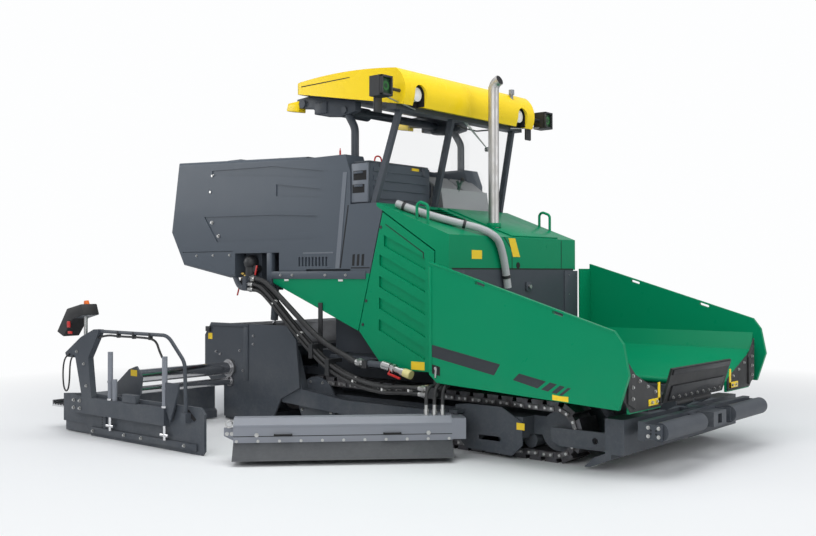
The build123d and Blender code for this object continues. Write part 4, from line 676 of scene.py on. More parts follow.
extension_paint = extension_finish()
bar_paint = bar_finish()
for side in SIDES:
    wear(extension_paint, f"screed_extension_{side}")
    wear(bar_paint, f"spray_bar_{side}")


# Hoses from the spray pump to the couplings, and the ribbed vent hose

HOSE_Y = -1.36
HOSE_SPREAD = 0.03
HOSE_RADIUS = 0.02
FEED_RADIUS = 0.032
VENT_RADIUS = 0.039
RIB_SPACING = 0.017
FERRULE_RADIUS = 0.026
FEED_FERRULE_RADIUS = 0.04
RIB_RADIUS = 0.042
CLAMP_RADIUS = 0.047
FEED_Y = HOSE_Y + 0.012
BUNDLE_CORNERS = ((-1, -1), (-1, 1), (1, -1), (1, 1))
BUNDLE_ROUTE = (
    (-1.79, 1.645), (-1.62, 1.645), (-1.43, 1.52), (-1.15, 1.28), (-0.82, 1.01),
    (-0.48, 0.77), (-0.08, 0.625), (0.33, 0.56), (0.65, 0.59), (0.97, 0.59),
)
FEED_ROUTE = (
    (-1.79, 1.738), (-1.60, 1.738), (-1.40, 1.615), (-1.08, 1.385), (-0.72, 1.12),
    (-0.43, 0.965), (-0.19, 0.885), (-0.07, 0.83), (0.06, 0.83),
)
VENT_ROUTE = (
    (0.33, -1.12, 2.5577), (0.56, -1.06, 2.4675), (0.83, -0.86, 2.3666),
    (1.1923, -0.56, 2.2519), (1.1823, -0.33, 2.06), (1.1823, -0.25, 1.64),
)


def line_points(curve_object):
    """Points along a curve's centre line, read from the curve itself."""
    bare = curve_object.data.copy()
    bare.bevel_depth = 0.0
    bare.use_fill_caps = False
    probe = bpy.data.objects.new("probe", bare)
    line = bpy.data.meshes.new_from_object(probe)
    points = [vert.co.copy() for vert in line.vertices]
    bpy.data.objects.remove(probe)
    bpy.data.meshes.remove(line)
    bpy.data.curves.remove(bare)
    return points


def run_length(points):
    """The length of a line through points."""
    return sum((b - a).length for a, b in zip(points[:-1], points[1:]))


def point_at(points, distance):
    """The place and direction at a distance along a line of points."""
    for a, b in zip(points[:-1], points[1:]):
        step = (b - a).length
        if distance <= step:
            return a + (b - a) * (distance / step), (b - a).normalized()
        distance -= step
    return points[-1].copy(), (points[-1] - points[-2]).normalized()


def free_hose(name, points, radius, finish, node):
    """A hose that hangs between two fittings of the machine."""
    made = pipe(name, points, radius, finish, "chassis")
    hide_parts(node)
    line = line_points(made)
    return line


bundle_lines = []
for i, (dy, dz) in enumerate(BUNDLE_CORNERS):
    route = [(x, HOSE_Y + dy * HOSE_SPREAD, z + dz * HOSE_SPREAD) for x, z in BUNDLE_ROUTE]
    bundle_lines.append(free_hose(f"spray_hose_{i + 1}", route, HOSE_RADIUS, rubber, "spray_hoses"))
feed_route = at_y(FEED_Y, FEED_ROUTE)
feed_line = free_hose("feed_hose", feed_route, FEED_RADIUS, rubber, "spray_hoses")
vent_line = free_hose("ribbed_vent_hose", VENT_ROUTE, VENT_RADIUS, hose_grey, "vent_hose")


def dress_bundle():
    """Metal ferrules at the hoses' ends and white ties along the bundle."""
    ferrules = bmesh.new()
    sleeves = [(line, FERRULE_RADIUS) for line in bundle_lines]
    for line, radius in [*sleeves, (feed_line, FEED_FERRULE_RADIUS)]:
        reach = run_length(line)
        for low, high in ((0.0, 0.09), (reach - 0.11, reach)):
            start, _ = point_at(line, low)
            end, _ = point_at(line, high)
            add_round(ferrules, start, end, radius, 18)
            middle, way = point_at(line, (low + high) / 2)
            add_round(ferrules, middle - way * 0.02, middle + way * 0.02, radius * 1.25, 6)
    piece("hose_ferrules", ferrules, bright_bolt, "chassis")
    ties = bmesh.new()
    middle_line = [sum(places, Vector()) / len(places) for places in zip(*bundle_lines)]
    reach = run_length(middle_line)
    for share in (0.16, 0.34, 0.66, 0.8, 0.92):
        centre, way = point_at(middle_line, reach * share)
        add_tie(ties, centre, way, 2 * HOSE_SPREAD + 0.02, 0.011)
    piece("hose_ties", ties, tie_white, "chassis")


def dress_vent_hose():
    """Ribs of the vent hose, and its clamps with their feet."""
    ribs = bmesh.new()
    reach = run_length(vent_line)
    count = int(reach / RIB_SPACING)
    for i in range(count):
        centre, way = point_at(vent_line, reach * (i + 0.5) / count)
        add_round(ribs, centre - way * 0.004, centre + way * 0.004, RIB_RADIUS, 18)
    piece("vent_ribs", ribs, hose_grey, "chassis")
    clamps = bmesh.new()
    for share in (0.055, 0.44, 0.93):
        centre, way = point_at(vent_line, reach * share)
        add_round(clamps, centre - way * 0.016, centre + way * 0.016, CLAMP_RADIUS, 24)
        add_bolt(clamps, centre + Vector((0, 0, 0.046)), (0, 0, 1), 0.016)
    add_box(clamps, (0.54, -1.085, 2.40), (0.59, -1.035, 2.445), 0.004)
    add_box(clamps, (1.139, -0.285, 1.69), (1.18, -0.245, 1.74), 0.004)
    piece("vent_clamps", clamps, black_plastic, "chassis")


def add_tie(shape, centre, way, width, half):
    """A band round a square bundle of hoses."""
    size = Matrix.Diagonal((width * 1.05, width * 1.05, 2 * half, 1))
    band = bmesh.ops.create_cube(shape, size=1.0, matrix=facing(centre, way) @ size)
    edges = {edge for vert in band["verts"] for edge in vert.link_edges}
    uprights = [
        edge for edge in edges if abs((edge.verts[0].co - edge.verts[1].co).normalized().dot(way)) > 0.9
    ]
    bmesh.ops.bevel(
        shape, geom=uprights, offset=0.026, segments=5, profile=0.5, affect="EDGES", material=-1
    )


dress_bundle()
dress_vent_hose()


# Operator's seats: crowned cushions on a bellows base

SEAT_Y = 0.56


def pad(name, low, high, crown, lean):
    """A crowned cushion whose sides pull in between its corners, leaning back by a shear."""
    shape = bmesh.new()
    add_box(shape, low, high)
    bmesh.ops.subdivide_edges(shape, edges=shape.edges[:], cuts=9, use_grid_fill=True)
    low, high = Vector(low), Vector(high)
    centre, half = (low + high) / 2, (high - low) / 2
    thin = min(range(3), key=lambda axis: half[axis])
    wide = [axis for axis in range(3) if axis != thin]
    for vert in shape.verts:
        near = [(vert.co[axis] - centre[axis]) / half[axis] for axis in range(3)]
        bulge = (1 - near[wide[0]] ** 2) * (1 - near[wide[1]] ** 2)
        channel = 1 - 0.22 * math.exp(-((abs(near[wide[1]]) - 0.5) / 0.07) ** 2)
        vert.co[thin] = centre[thin] + near[thin] * (half[thin] * 0.8 + crown * bulge * channel)
        for axis, other in (wide, wide[::-1]):
            vert.co[axis] -= near[axis] * 0.02 * (1 - near[other] ** 2) * (1 - abs(near[thin]) * 0.6)
    for vert in shape.verts:
        vert.co.x += (vert.co.z - low.z) * lean
    made = piece(name, shape, seat_cloth, "chassis")
    soft = made.modifiers.new("rounding", "SUBSURF")
    soft.levels = 2
    soft.render_levels = 2
    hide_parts("seats")


def build_seat(side, s):
    """One operator's seat."""
    y = s * SEAT_Y
    pad(f"seat_cushion_{side}", (-0.88, y - 0.24, 2.235), (-0.40, y + 0.24, 2.355), 0.018, 0.0)
    pad(f"seat_back_{side}", (-0.88, y - 0.235, 2.36), (-0.775, y + 0.235, 2.90), 0.02, -0.12)
    base = bmesh.new()
    add_box(base, (-0.81, y - 0.17, 1.852), (-0.47, y + 0.17, 1.90), 0.01)
    for i in range(5):
        z = 1.905 + i * 0.055
        fold = 0.01 * (i % 2)
        add_box(base, (-0.79 + fold, y - 0.15, z), (-0.49 - fold, y + 0.15, z + 0.05), 0.018)
    add_box(base, (-0.83, y - 0.19, 2.18), (-0.45, y + 0.19, 2.232), 0.012)
    for edge in (-1, 1):
        add_box(base, (-0.80, y + edge * 0.262, 2.50), (-0.47, y + edge * 0.325, 2.555), 0.02)
        add_box(base, (-0.80, y + edge * 0.27, 2.27), (-0.745, y + edge * 0.30, 2.51), 0.008)
        add_box(base, (-0.80, y + edge * 0.18, 2.22), (-0.745, y + edge * 0.30, 2.275), 0.008)
    made = piece(f"seat_base_{side}", base, black_plastic, "chassis")
    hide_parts("seats")


for side, s in HANDS:
    build_seat(side, s)


# Augers: a helical flight on each shaft

AUGER_AXIS = (-1.54, 0.33)
AUGER_ENDS = (0.045, 1.10)
AUGER_SHAFT = 0.045
FLIGHT_RADIUS = 0.182
FLIGHT_PITCH = 0.30
FLIGHT_PLATE = 0.016


def build_auger(side, s):
    """Shaft with a screw flight that pushes the mix outwards."""
    shape = bmesh.new()
    axis_x, axis_z = AUGER_AXIS
    inner, outer = AUGER_ENDS
    add_round(shape, (axis_x, s * inner, axis_z), (axis_x, s * outer, axis_z), AUGER_SHAFT, 32)
    start = s * (inner + 0.06)
    turns = (outer - inner - 0.14) / FLIGHT_PITCH
    steps = int(turns * 30)
    low, high = start - FLIGHT_PLATE / 2, start + FLIGHT_PLATE / 2
    root, rim = axis_z + AUGER_SHAFT * 0.9, axis_z + FLIGHT_RADIUS
    corners = [(axis_x, low, root), (axis_x, high, root), (axis_x, high, rim), (axis_x, low, rim)]
    face = shape.faces.new([shape.verts.new(corner) for corner in corners])
    bmesh.ops.spin(
        shape,
        geom=[face, *face.edges, *face.verts],
        cent=(axis_x, 0, axis_z),
        axis=(0, 1, 0),
        dvec=(0, s * FLIGHT_PITCH * turns / steps, 0),
        angle=math.tau * turns,
        steps=steps,
        use_merge=False,
    )
    made = piece(f"auger_screw_{side}", shape, worn_steel, f"auger_{side}")
    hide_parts(f"auger_{side}")


for side, s in HANDS:
    build_auger(side, s)


# Spray housing: cover bolts, front strip, slots, hand recesses, edge beam, pump fittings and hatches

LOCKER_WALL = -1.205


def dress_housing(side, s):
    """Small forms on one side wall of the spray housing and of the panels below and ahead of it."""
    wall = s * BODY_WALL
    bolts = bmesh.new()
    for x, z in ((-2.634, 3.036), (-2.670, 2.835), (-2.652, 2.446), (-2.523, 2.272)):
        add_bolt(bolts, (x, wall - s * 0.011, z), (0, s, 0), 0.03)
    for x in (-2.95, -2.62, -2.30):
        add_bolt(bolts, (x, wall, 2.03), (0, s, 0), 0.02)
    for x in (-1.36, -1.16, -0.62, -0.30):
        add_bolt(bolts, (x, wall + s * 0.012, 1.782), (0, s, 0), 0.02)
    piece(f"cover_bolts_{side}", bolts, bright_bolt, "chassis")
    strip = bmesh.new()
    add_strip(strip, wall, ((-0.345, 2.93), (-0.285, 2.93), (-0.405, 1.856), (-0.470, 1.856)), s * 0.006)
    add_strip(strip, wall, ((-0.99, 2.045), (-0.50, 2.045), (-0.50, 2.028), (-0.99, 2.028)), s * 0.004)
    piece(f"cover_strip_{side}", strip, panel_light, "chassis")
    gaps = bmesh.new()
    add_strip(gaps, wall, ((-0.279, 2.56), (-0.262, 2.56), (-0.385, 1.86), (-0.402, 1.86)), s * 0.0015)
    for i in range(3):
        x = -0.205 + i * 0.07
        slit = ((x, 2.01), (x + 0.036, 2.015), (x + 0.026, 1.885), (x - 0.01, 1.885))
        add_strip(gaps, wall, slit, s * 0.0015)
    add_strip(gaps, wall, ((-0.23, 1.868), (0.05, 1.868), (0.05, 1.856), (-0.23, 1.856)), s * 0.0015)
    piece(f"cover_gaps_{side}", gaps, shadow_black, "chassis")
    beam = bmesh.new()
    add_box(beam, (-1.52, wall - s * 0.02, 1.738), (-0.005, wall + s * 0.012, 1.826), 0.004)
    add_box(beam, (-1.62, wall + s * 0.001, 1.60), (-1.53, s * 1.188, 2.049), 0.008)
    piece(f"edge_beam_{side}", beam, grey_paint, "chassis")
    latches = bmesh.new()
    for x in (-1.30, -0.42):
        add_box(latches, (x, wall, 1.712), (x + 0.07, wall + s * 0.010, 1.734), 0.002)
    piece(f"panel_latches_{side}", latches, tie_white, "chassis")


def dress_locker_side():
    """Hand recesses on the locker's outer side, its lid and its grab."""
    wall = LOCKER_WALL
    frames = bmesh.new()
    add_box(frames, (-0.238, wall, 2.585), (0.008, wall - 0.03, 3.018), 0.008)
    piece("locker_side", frames, panel_light, "chassis")
    hollows = bmesh.new()
    for low, high, bottom, top in ((-0.205, -0.01, 2.83, 2.935), (-0.22, -0.04, 2.69, 2.785)):
        add_box(hollows, (low, wall - 0.028, bottom), (high, wall - 0.0325, top), 0.002)
    piece("hand_recesses", hollows, shadow_black, "chassis")
    grips = bmesh.new()
    for z in (2.915, 2.768):
        add_box(grips, (-0.19, wall - 0.030, z - 0.012), (-0.06, wall - 0.042, z + 0.012), 0.004)
    piece("recess_grips", grips, grey_paint, "chassis")
    lid = bmesh.new()
    add_box(lid, (-0.235, -1.20, 3.021), (0.0, -0.165, 3.045), 0.008)
    for y in (-1.05, -0.32):
        add_box(lid, (0.004, y, 2.93), (0.028, y + 0.05, 3.03), 0.006)
    piece("locker_lid", lid, dark_paint, "chassis")
    bow = ((-0.98, 3.03), (-0.985, 3.10), (-0.92, 3.13), (-0.855, 3.10), (-0.86, 3.03))
    pipe("locker_grab", at_x(-0.12, 1, bow), 0.009, signal_red, "chassis")


def dress_pump():
    """Canisters, fittings and levers beside the spray pump, and the bent pipe that feeds the manifold."""
    dark = bmesh.new()
    bmesh.ops.create_uvsphere(
        dark, u_segments=24, v_segments=14, radius=0.095, matrix=Matrix.Translation((-1.99, -1.165, 1.935))
    )
    add_round(dark, (-1.99, -1.165, 1.62), (-1.99, -1.165, 1.88), 0.075, 28)
    add_round(dark, (-2.09, -1.12, 1.70), (-2.09, -1.215, 1.70), 0.055, 24)
    add_round(dark, (-1.89, -1.12, 1.86), (-1.89, -1.20, 1.86), 0.045, 24)
    piece("pump_canisters", dark, black_plastic, "chassis")
    brass = bmesh.new()
    for x, z in ((-2.115, 1.80), (-2.06, 1.775), (-2.12, 1.74)):
        add_round(brass, (x, -1.12, z), (x, -1.20, z), 0.018, 6)
        add_round(brass, (x - 0.03, -1.19, z), (x + 0.03, -1.19, z), 0.012, 12)
    piece("pump_fittings", brass, brass_metal, "chassis")
    levers = bmesh.new()
    for y, outline in (
        (-1.225, ((-1.84, 1.90), (-1.815, 1.90), (-1.865, 1.72), (-1.89, 1.72))),
        (-1.21, ((-2.16, 1.70), (-2.14, 1.70), (-2.20, 1.53), (-2.22, 1.53))),
    ):
        add_plate(levers, at_y(y, outline), (0, 0.012, 0), 0.003)
    piece("pump_levers", levers, signal_red, "chassis")
    bend = (
        (-2.31, -1.17, 1.80), (-2.24, -1.20, 1.74), (-2.10, -1.27, 1.655),
        (-1.96, -1.34, 1.625), (-1.845, -1.345, 1.625),
    )
    pipe("feed_pipe", bend, 0.034, dark_paint, "chassis")


def dress_housing_top():
    """Hatches on the top of the spray housing, and a red peg."""
    hatches = bmesh.new()
    for low, high, rise in ((-2.63, -2.36, 0.028), (-1.77, -1.62, 0.022)):
        top = 3.25 - (low + 3.34) * 0.0397
        add_box(hatches, (low, -1.02, top - 0.02), (high, 1.02, top + rise), 0.012)
    add_box(hatches, (-2.30, -0.9, 3.20), (-1.82, 0.9, 3.214), 0.006)
    piece("top_hatches", hatches, grey_paint, "chassis")
    peg = bmesh.new()
    add_round(peg, (-0.52, -1.12, 3.128), (-0.52, -1.12, 3.20), 0.011, 12)
    add_round(peg, (-0.52, -1.12, 3.20), (-0.52, -1.12, 3.225), 0.006, 12)
    piece("drain_peg", peg, signal_red, "chassis")


for side, s in HANDS:
    dress_housing(side, s)
dress_locker_side()
dress_pump()
dress_housing_top()


# Hood and bulkhead: louvres, lid, seams, front hole, plain plates and the strips down the bulkhead

HOOD_TILT = math.atan2(0.37, 0.99)
HOOD_FRONT = 1.1405
BULKHEAD_FACE = 1.14
LOUVRE_RIGHT = -0.82
LOUVRE_LEFT = -0.32
LOUVRE_SPACING = 0.073
hood_frame = Matrix.Translation((0.15, 0, 2.57)) @ Matrix.Rotation(HOOD_TILT, 4, "Y")


def on_hood(shape):
    """Lay a shape drawn flat onto the hood's sloping top."""
    bmesh.ops.transform(shape, matrix=hood_frame, verts=shape.verts)


def dress_hood_top():
    """Louvres and lid on the hood's sloping top, and the collar round the exhaust."""
    bed = bmesh.new()
    add_box(bed, (0.13, LOUVRE_RIGHT, -0.001), (0.74, LOUVRE_LEFT, 0.003))
    on_hood(bed)
    piece("louvre_bed", bed, shadow_black, "chassis")
    vanes = bmesh.new()
    for i in range(8):
        x = 0.15 + i * LOUVRE_SPACING
        tip = x + 0.05
        vane = [
            (x, LOUVRE_RIGHT, 0.002), (tip, LOUVRE_RIGHT, 0.022),
            (tip, LOUVRE_LEFT, 0.022), (x, LOUVRE_LEFT, 0.002),
        ]
        add_plate(vanes, vane, (0, 0, 0.004))
    add_box(vanes, (0.11, -0.84, 0.0), (0.76, LOUVRE_RIGHT, 0.026), 0.004)
    add_box(vanes, (0.11, LOUVRE_LEFT, 0.0), (0.76, -0.30, 0.026), 0.004)
    on_hood(vanes)
    piece("hood_louvres", vanes, green_paint, "chassis")
    lid = bmesh.new()
    add_box(lid, (0.06, -0.08, 0.0), (1.03, 0.90, 0.016), 0.008)
    on_hood(lid)
    exhaust_collar = bmesh.ops.create_cone(
        lid,
        cap_ends=True,
        segments=32,
        radius1=0.085,
        radius2=0.085,
        depth=0.05,
        matrix=Matrix.Translation((EXHAUST_X, 0, 2.345)),
    )
    soften(lid, exhaust_collar["verts"], 0.006)
    piece("hood_lid", lid, green_paint, "chassis")


def dress_hood_front():
    """Seams, hole and plain plates on the hood's front."""
    seams = bmesh.new()
    front = HOOD_FRONT
    for a, b in (
        ((-0.261, 2.198), (-0.106, 2.058)),
        ((-0.106, 2.064), (-0.106, 1.845)),
        ((0.93, 2.185), (0.93, 1.845)),
    ):
        across = Vector((0, -(b[1] - a[1]), b[0] - a[0])).normalized() * 0.005
        low, high = Vector((front, *a)), Vector((front, *b))
        add_plate(seams, [low - across, low + across, high + across, high - across], (0.0015, 0, 0))
    add_box(seams, (front, -1.20, 1.842), (front + 0.0015, 1.20, 1.856))
    add_round(seams, (front, 0.013, 1.888), (front + 0.003, 0.013, 1.888), 0.036, 24)
    piece("hood_seams", seams, shadow_black, "chassis")
    plates = bmesh.new()
    add_box(plates, (front, -0.857, 1.952), (front + 0.002, -0.676, 2.045))
    slanted = ((-0.176, 2.188), (-0.046, 2.188), (0.051, 1.982), (-0.086, 1.981))
    add_plate(plates, at_x(front, 1, slanted), (0.002, 0, 0))
    piece("hood_plates", plates, label_yellow, "chassis")


def dress_bulkhead():
    """Strips down both sides of the bulkhead with their bolts, and a small plate with a round knob."""
    strip = bmesh.new()
    add_box(strip, (BULKHEAD_FACE, 0.995, 0.98), (1.152, 1.29, 1.83), 0.003)
    add_box(strip, (BULKHEAD_FACE, -1.29, 0.98), (1.152, -0.995, 1.83), 0.003)
    add_box(strip, (BULKHEAD_FACE, 0.16, 1.60), (1.16, 0.26, 1.70), 0.006)
    piece("bulkhead_strips", strip, dark_paint, "chassis")
    bolts = bmesh.new()
    for s in (-1, 1):
        for z in (1.05, 1.30, 1.55, 1.78):
            add_bolt(bolts, (1.147, s * 1.09, z), (1, 0, 0), 0.011)
    add_round(bolts, (1.16, 0.21, 1.65), (1.185, 0.21, 1.65), 0.022, 20)
    piece("bulkhead_bolts", bolts, bright_bolt, "chassis")


dress_hood_top()
dress_hood_front()
dress_bulkhead()


# Side doors: creases, latches and a plain plate

def dress_door(side, s):
    """Creases, latches and plain plate of one door."""
    wall = s * BODY_WALL
    lines = bmesh.new()
    add_strip(lines, wall, ((0.28, 2.335), (0.80, 2.025), (0.80, 2.013), (0.28, 2.323)), s * 0.0012)
    add_strip(lines, wall, ((0.80, 2.025), (0.812, 2.020), (0.812, 1.955), (0.80, 1.955)), s * 0.0012)
    piece(f"door_lines_{side}", lines, shadow_black, f"door_{side}")
    latch = bmesh.new()
    for x, z in ((0.0, 1.50), (-0.05, 1.24), (0.215, 2.30)):
        add_round(latch, (x, wall, z), (x, wall + s * 0.006, z), 0.017, 20)
    piece(f"door_latch_{side}", latch, black_plastic, f"door_{side}")
    plate = bmesh.new()
    add_strip(plate, wall, oblong(0.64, 0.82, 0.79, 0.875), s * 0.002)
    piece(f"door_plate_{side}", plate, label_yellow, f"door_{side}")


for side, s in HANDS:
    dress_door(side, s)


# Roof, windscreen, desk and exhaust: slits, lamps, beacon, roof arms, wiper, lever and bent tip

LAMP_Y = 0.99
LAMP_Z = 3.735
LAMP_BAY = 0.098
BAY_REAR = 0.421
BAY_FRONT = 0.53
BAY_LOW = 3.612
MIRROR_LAMP_Y = 1.56
MIRROR_LAMP_Z = 3.745
MIRROR_LAMP_INNER = 1.475
MIRROR_LAMP_OUTER = 1.645
MIRROR_LAMP_LOW = 3.64
MIRROR_LAMP_TOP = 3.85
LAMP_HOOD_REAR = 0.545
LAMP_HOOD_FRONT = 0.585
PANE_FOOT = (0.07, 2.57)
PANE_LEAN = 0.26
ROOF_ARM_FACE = 1.06
ROOF_ARM = (
    (-1.29, 3.875), (-1.10, 3.89), (-0.34, 3.752), (-0.34, 3.64), (-0.56, 3.60),
    (-0.84, 3.63), (-1.04, 3.74), (-1.29, 3.77),
)


def pane_x(z):
    """The X of the leaning windscreen at a height."""
    return PANE_FOOT[0] + PANE_LEAN * (z - PANE_FOOT[1])


def add_lamp_bay(shape, y):
    """A dark arch round one lamp in its recess."""
    arch = [(-LAMP_BAY, BAY_LOW)]
    for step in range(13):
        turn = math.pi * step / 12
        arch.append((-LAMP_BAY * math.cos(turn), LAMP_Z + LAMP_BAY * math.sin(turn)))
    arch.append((LAMP_BAY, BAY_LOW))
    for (y1, z1), (y2, z2) in zip(arch[:-1], arch[1:]):
        corners = [
            (BAY_REAR, y + y1, z1), (BAY_FRONT, y + y1, z1),
            (BAY_FRONT, y + y2, z2), (BAY_REAR, y + y2, z2),
        ]
        inwards = Vector((0, -(y1 + y2), 2 * LAMP_Z - z1 - z2 if y1 != y2 else 0)).normalized()
        add_plate(shape, corners, inwards * 0.0015)
    add_round(shape, (BAY_REAR, y, LAMP_Z), (BAY_REAR + 0.002, y, LAMP_Z), LAMP_BAY, 32)
    add_box(shape, (BAY_REAR, y - LAMP_BAY, BAY_LOW), (BAY_REAR + 0.002, y + LAMP_BAY, LAMP_Z))


def dress_roof():
    """Slits, lamp linings, lenses, beacon and red marker of the roof."""
    dark = bmesh.new()
    for s in (-1, 1):
        slit = ((-1.02, 3.972), (-0.25, 3.984), (-0.25, 3.974), (-1.02, 3.960))
        add_strip(dark, s * BODY_WALL, slit, s * 0.001)
        add_lamp_bay(dark, s * LAMP_Y)
    add_box(dark, (0.25, -1.06, 4.0), (0.31, -0.80, 4.036), 0.006)
    piece("roof_shadows", dark, shadow_black, "chassis")
    lenses = bmesh.new()
    for s in (-1, 1):
        add_round(lenses, (0.51, s * LAMP_Y, LAMP_Z), (0.518, s * LAMP_Y, LAMP_Z), 0.064, 36, 0.052)
    piece("lamp_lenses", lenses, lamp_white, "chassis")
    beacon = bmesh.new()
    add_round(beacon, (0.49, 0.85, 3.90), (0.49, 0.85, 3.985), 0.02, 16)
    add_round(beacon, (0.49, 0.85, 3.985), (0.49, 0.85, 4.046), 0.034, 24)
    piece("roof_beacon", beacon, light_grey_paint, "chassis")
    marker = bmesh.new()
    add_box(marker, (0.255, -0.80, 4.002), (0.305, -0.745, 4.034), 0.006)
    piece("roof_marker", marker, signal_red, "chassis")


def dress_roof_arms():
    """Arms below the roof with their hubs, cross tubes and yellow caps."""
    cassette, caps = bmesh.new(), bmesh.new()
    for s in (-1, 1):
        add_plate(cassette, at_y(s * ROOF_ARM_FACE, ROOF_ARM), (0, -s * 0.10, 0), 0.006)
        add_box(cassette, (-0.98, s * 1.08, 3.66), (-0.78, s * 0.90, 3.80), 0.01)
        add_round(cassette, (-1.18, s * 0.94, 3.81), (-1.18, s * 1.085, 3.81), 0.05, 28)
        add_round(cassette, (-0.50, s * 0.94, 3.665), (-0.50, s * 1.085, 3.665), 0.04, 28)
        cap = at_y(s * 1.07, ((-1.25, 3.855), (-1.44, 3.845), (-1.47, 3.755), (-1.25, 3.72)))
        add_plate(caps, cap, (0, -s * 0.12, 0), 0.012)
    add_round(cassette, (-0.80, -1.0, 3.735), (-0.80, 1.0, 3.735), 0.05, 28)
    add_round(cassette, (-1.18, -1.0, 3.81), (-1.18, 1.0, 3.81), 0.035, 28)
    add_round(cassette, (-0.62, -1.0, 3.68), (-0.62, -0.55, 3.68), 0.075, 28)
    piece("roof_arm_caps", caps, yellow_paint, "chassis")
    piece("roof_cassette", cassette, dark_paint, "chassis")


def dress_mirrors():
    """Hooded lamps with green glass on the mirror arms, the mirror blades and the bright braces."""
    hoods, glass, rings, braces = bmesh.new(), bmesh.new(), bmesh.new(), bmesh.new()
    for s in (-1, 1):
        inner, outer = s * MIRROR_LAMP_INNER, s * MIRROR_LAMP_OUTER
        for low, high in ((MIRROR_LAMP_LOW, 3.662), (3.828, MIRROR_LAMP_TOP)):
            add_box(hoods, (LAMP_HOOD_REAR, inner, low), (LAMP_HOOD_FRONT, outer, high), 0.004)
        for low, high in ((inner, s * 1.495), (s * 1.625, outer)):
            foot = (LAMP_HOOD_REAR, low, MIRROR_LAMP_LOW)
            add_box(hoods, foot, (LAMP_HOOD_FRONT, high, MIRROR_LAMP_TOP), 0.004)
        add_box(hoods, (0.325, s * 1.38, 3.50), (0.355, s * 1.50, 3.87), 0.012)
        add_round(hoods, (0.345, s * 1.44, MIRROR_LAMP_Z), (0.47, s * 1.44, MIRROR_LAMP_Z), 0.014, 16)
        add_box(glass, (0.55, s * 1.49, 3.657), (0.558, s * 1.63, 3.833), 0.002)
        y, z = s * MIRROR_LAMP_Y, MIRROR_LAMP_Z
        add_round(rings, (0.558, y, z), (0.561, y, z), 0.05, 32)
        add_round(glass, (0.561, y, z), (0.563, y, z), 0.024, 24)
        add_round(braces, (0.49, s * 1.52, 3.66), (0.46, s * 1.16, 3.612), 0.009, 14)
        add_round(braces, (0.46, s * 1.16, 3.612), (0.42, s * 0.92, 3.592), 0.009, 14)
    piece("mirror_hoods", hoods, black_plastic, "chassis")
    piece("mirror_lamp_glass", glass, lamp_glass, "chassis")
    piece("mirror_lamp_rings", rings, lens_green, "chassis")
    piece("mirror_braces", braces, bright_bolt, "chassis")


def dress_pane():
    """Wiper on the left pane."""
    arm, blade = bmesh.new(), bmesh.new()
    head = Vector((pane_x(3.60) + 0.03, 0.0, 3.60))
    elbow = Vector((pane_x(3.313) + 0.03, 0.626, 3.313))
    add_round(arm, head, elbow, 0.007, 12)
    add_round(arm, head + Vector((0, 0.05, 0)), elbow, 0.005, 12)
    add_round(arm, elbow - Vector((0.03, 0, 0)), elbow + Vector((0.015, 0, 0)), 0.028, 20)
    piece("wiper_arm", arm, bright_bolt, "chassis")
    bow = ((-0.06, 3.52), (0.12, 3.505), (0.34, 3.50), (0.62, 3.545))
    for (y1, z1), (y2, z2) in zip(bow[:-1], bow[1:]):
        add_round(blade, (pane_x(z1) + 0.022, y1, z1), (pane_x(z2) + 0.022, y2, z2), 0.009, 12)
    piece("wiper_blade", blade, rubber, "chassis")


def dress_desk():
    """Tilted desk boards over the console, and a green lever with its black grip."""
    boards = bmesh.new()
    for low, high in ((0.10, 0.56), (0.62, 1.04)):
        board = [(-0.06, low, 2.80), (-0.06, high, 2.80), (-0.30, high, 2.97), (-0.30, low, 2.97)]
        add_plate(boards, board, (0.012, 0, 0.017), 0.003)
        for y in (low + 0.05, high - 0.05):
            add_round(boards, (-0.20, y, 2.66), (-0.20, y, 2.90), 0.012, 12)
    piece("desk_boards", boards, console_grey, "chassis")
    lever = bmesh.new()
    add_round(lever, (-0.005, 0.40, 2.78), (-0.005, 0.44, 2.86), 0.02, 16)
    add_round(lever, (-0.005, 0.44, 2.86), (-0.005, 0.40, 2.93), 0.016, 16)
    add_round(lever, (-0.005, 0.44, 2.86), (-0.005, 0.50, 2.94), 0.016, 16)
    piece("desk_lever", lever, lever_green, "chassis")
    grip = bmesh.new()
    bmesh.ops.create_uvsphere(
        grip, u_segments=20, v_segments=12, radius=0.028, matrix=Matrix.Translation((-0.005, 0.505, 2.95))
    )
    piece("desk_grip", grip, black_plastic, "chassis")


def dress_exhaust():
    """Bent tip of the exhaust with its dark mouth."""
    bend = ((0.0, 3.82), (0.0, 3.89), (0.012, 3.935), (0.042, 3.972), (0.085, 3.99))
    tip = [(EXHAUST_X + dx, 0, z) for dx, z in bend]
    pipe("exhaust_tip", tip, 0.0605, stainless, "chassis")
    mouth = bmesh.new()
    end = Vector(tip[-1])
    way = (end - Vector(tip[-2])).normalized()
    add_round(mouth, end - way * 0.01, end + way * 0.0015, 0.053, 32)
    piece("exhaust_mouth", mouth, shadow_black, "chassis")


dress_roof()
dress_roof_arms()
dress_mirrors()
dress_pane()
dress_desk()
dress_exhaust()


# End gates: bolts, spindles with cross bars, gusset, control box, cable loop and the line on the rail

GATE_PLATE = 3.07
GATE_BEAM = 3.14
GATE_MIDDLE = 3.105
GATE_INNER = 3.075
GATE_OUTER = 3.135
CONTROL_INNER = 3.005
CONTROL_WIDTH = 0.203
GRIP_INNER = 3.206
GRIP_OUTER = 3.222
RAIL_LINE_Y = 3.112
SPINDLES = (-2.06, -1.09)
CONTROL_OUTLINE = (
    (-2.96, 1.15), (-2.76, 1.405), (-2.48, 1.46), (-2.43, 1.345), (-2.64, 1.30), (-2.83, 1.10),
)
CONTROL_MIDDLE = (-2.69, 1.29)
CABLE_Y = 3.15
CABLE_RADIUS = 0.009


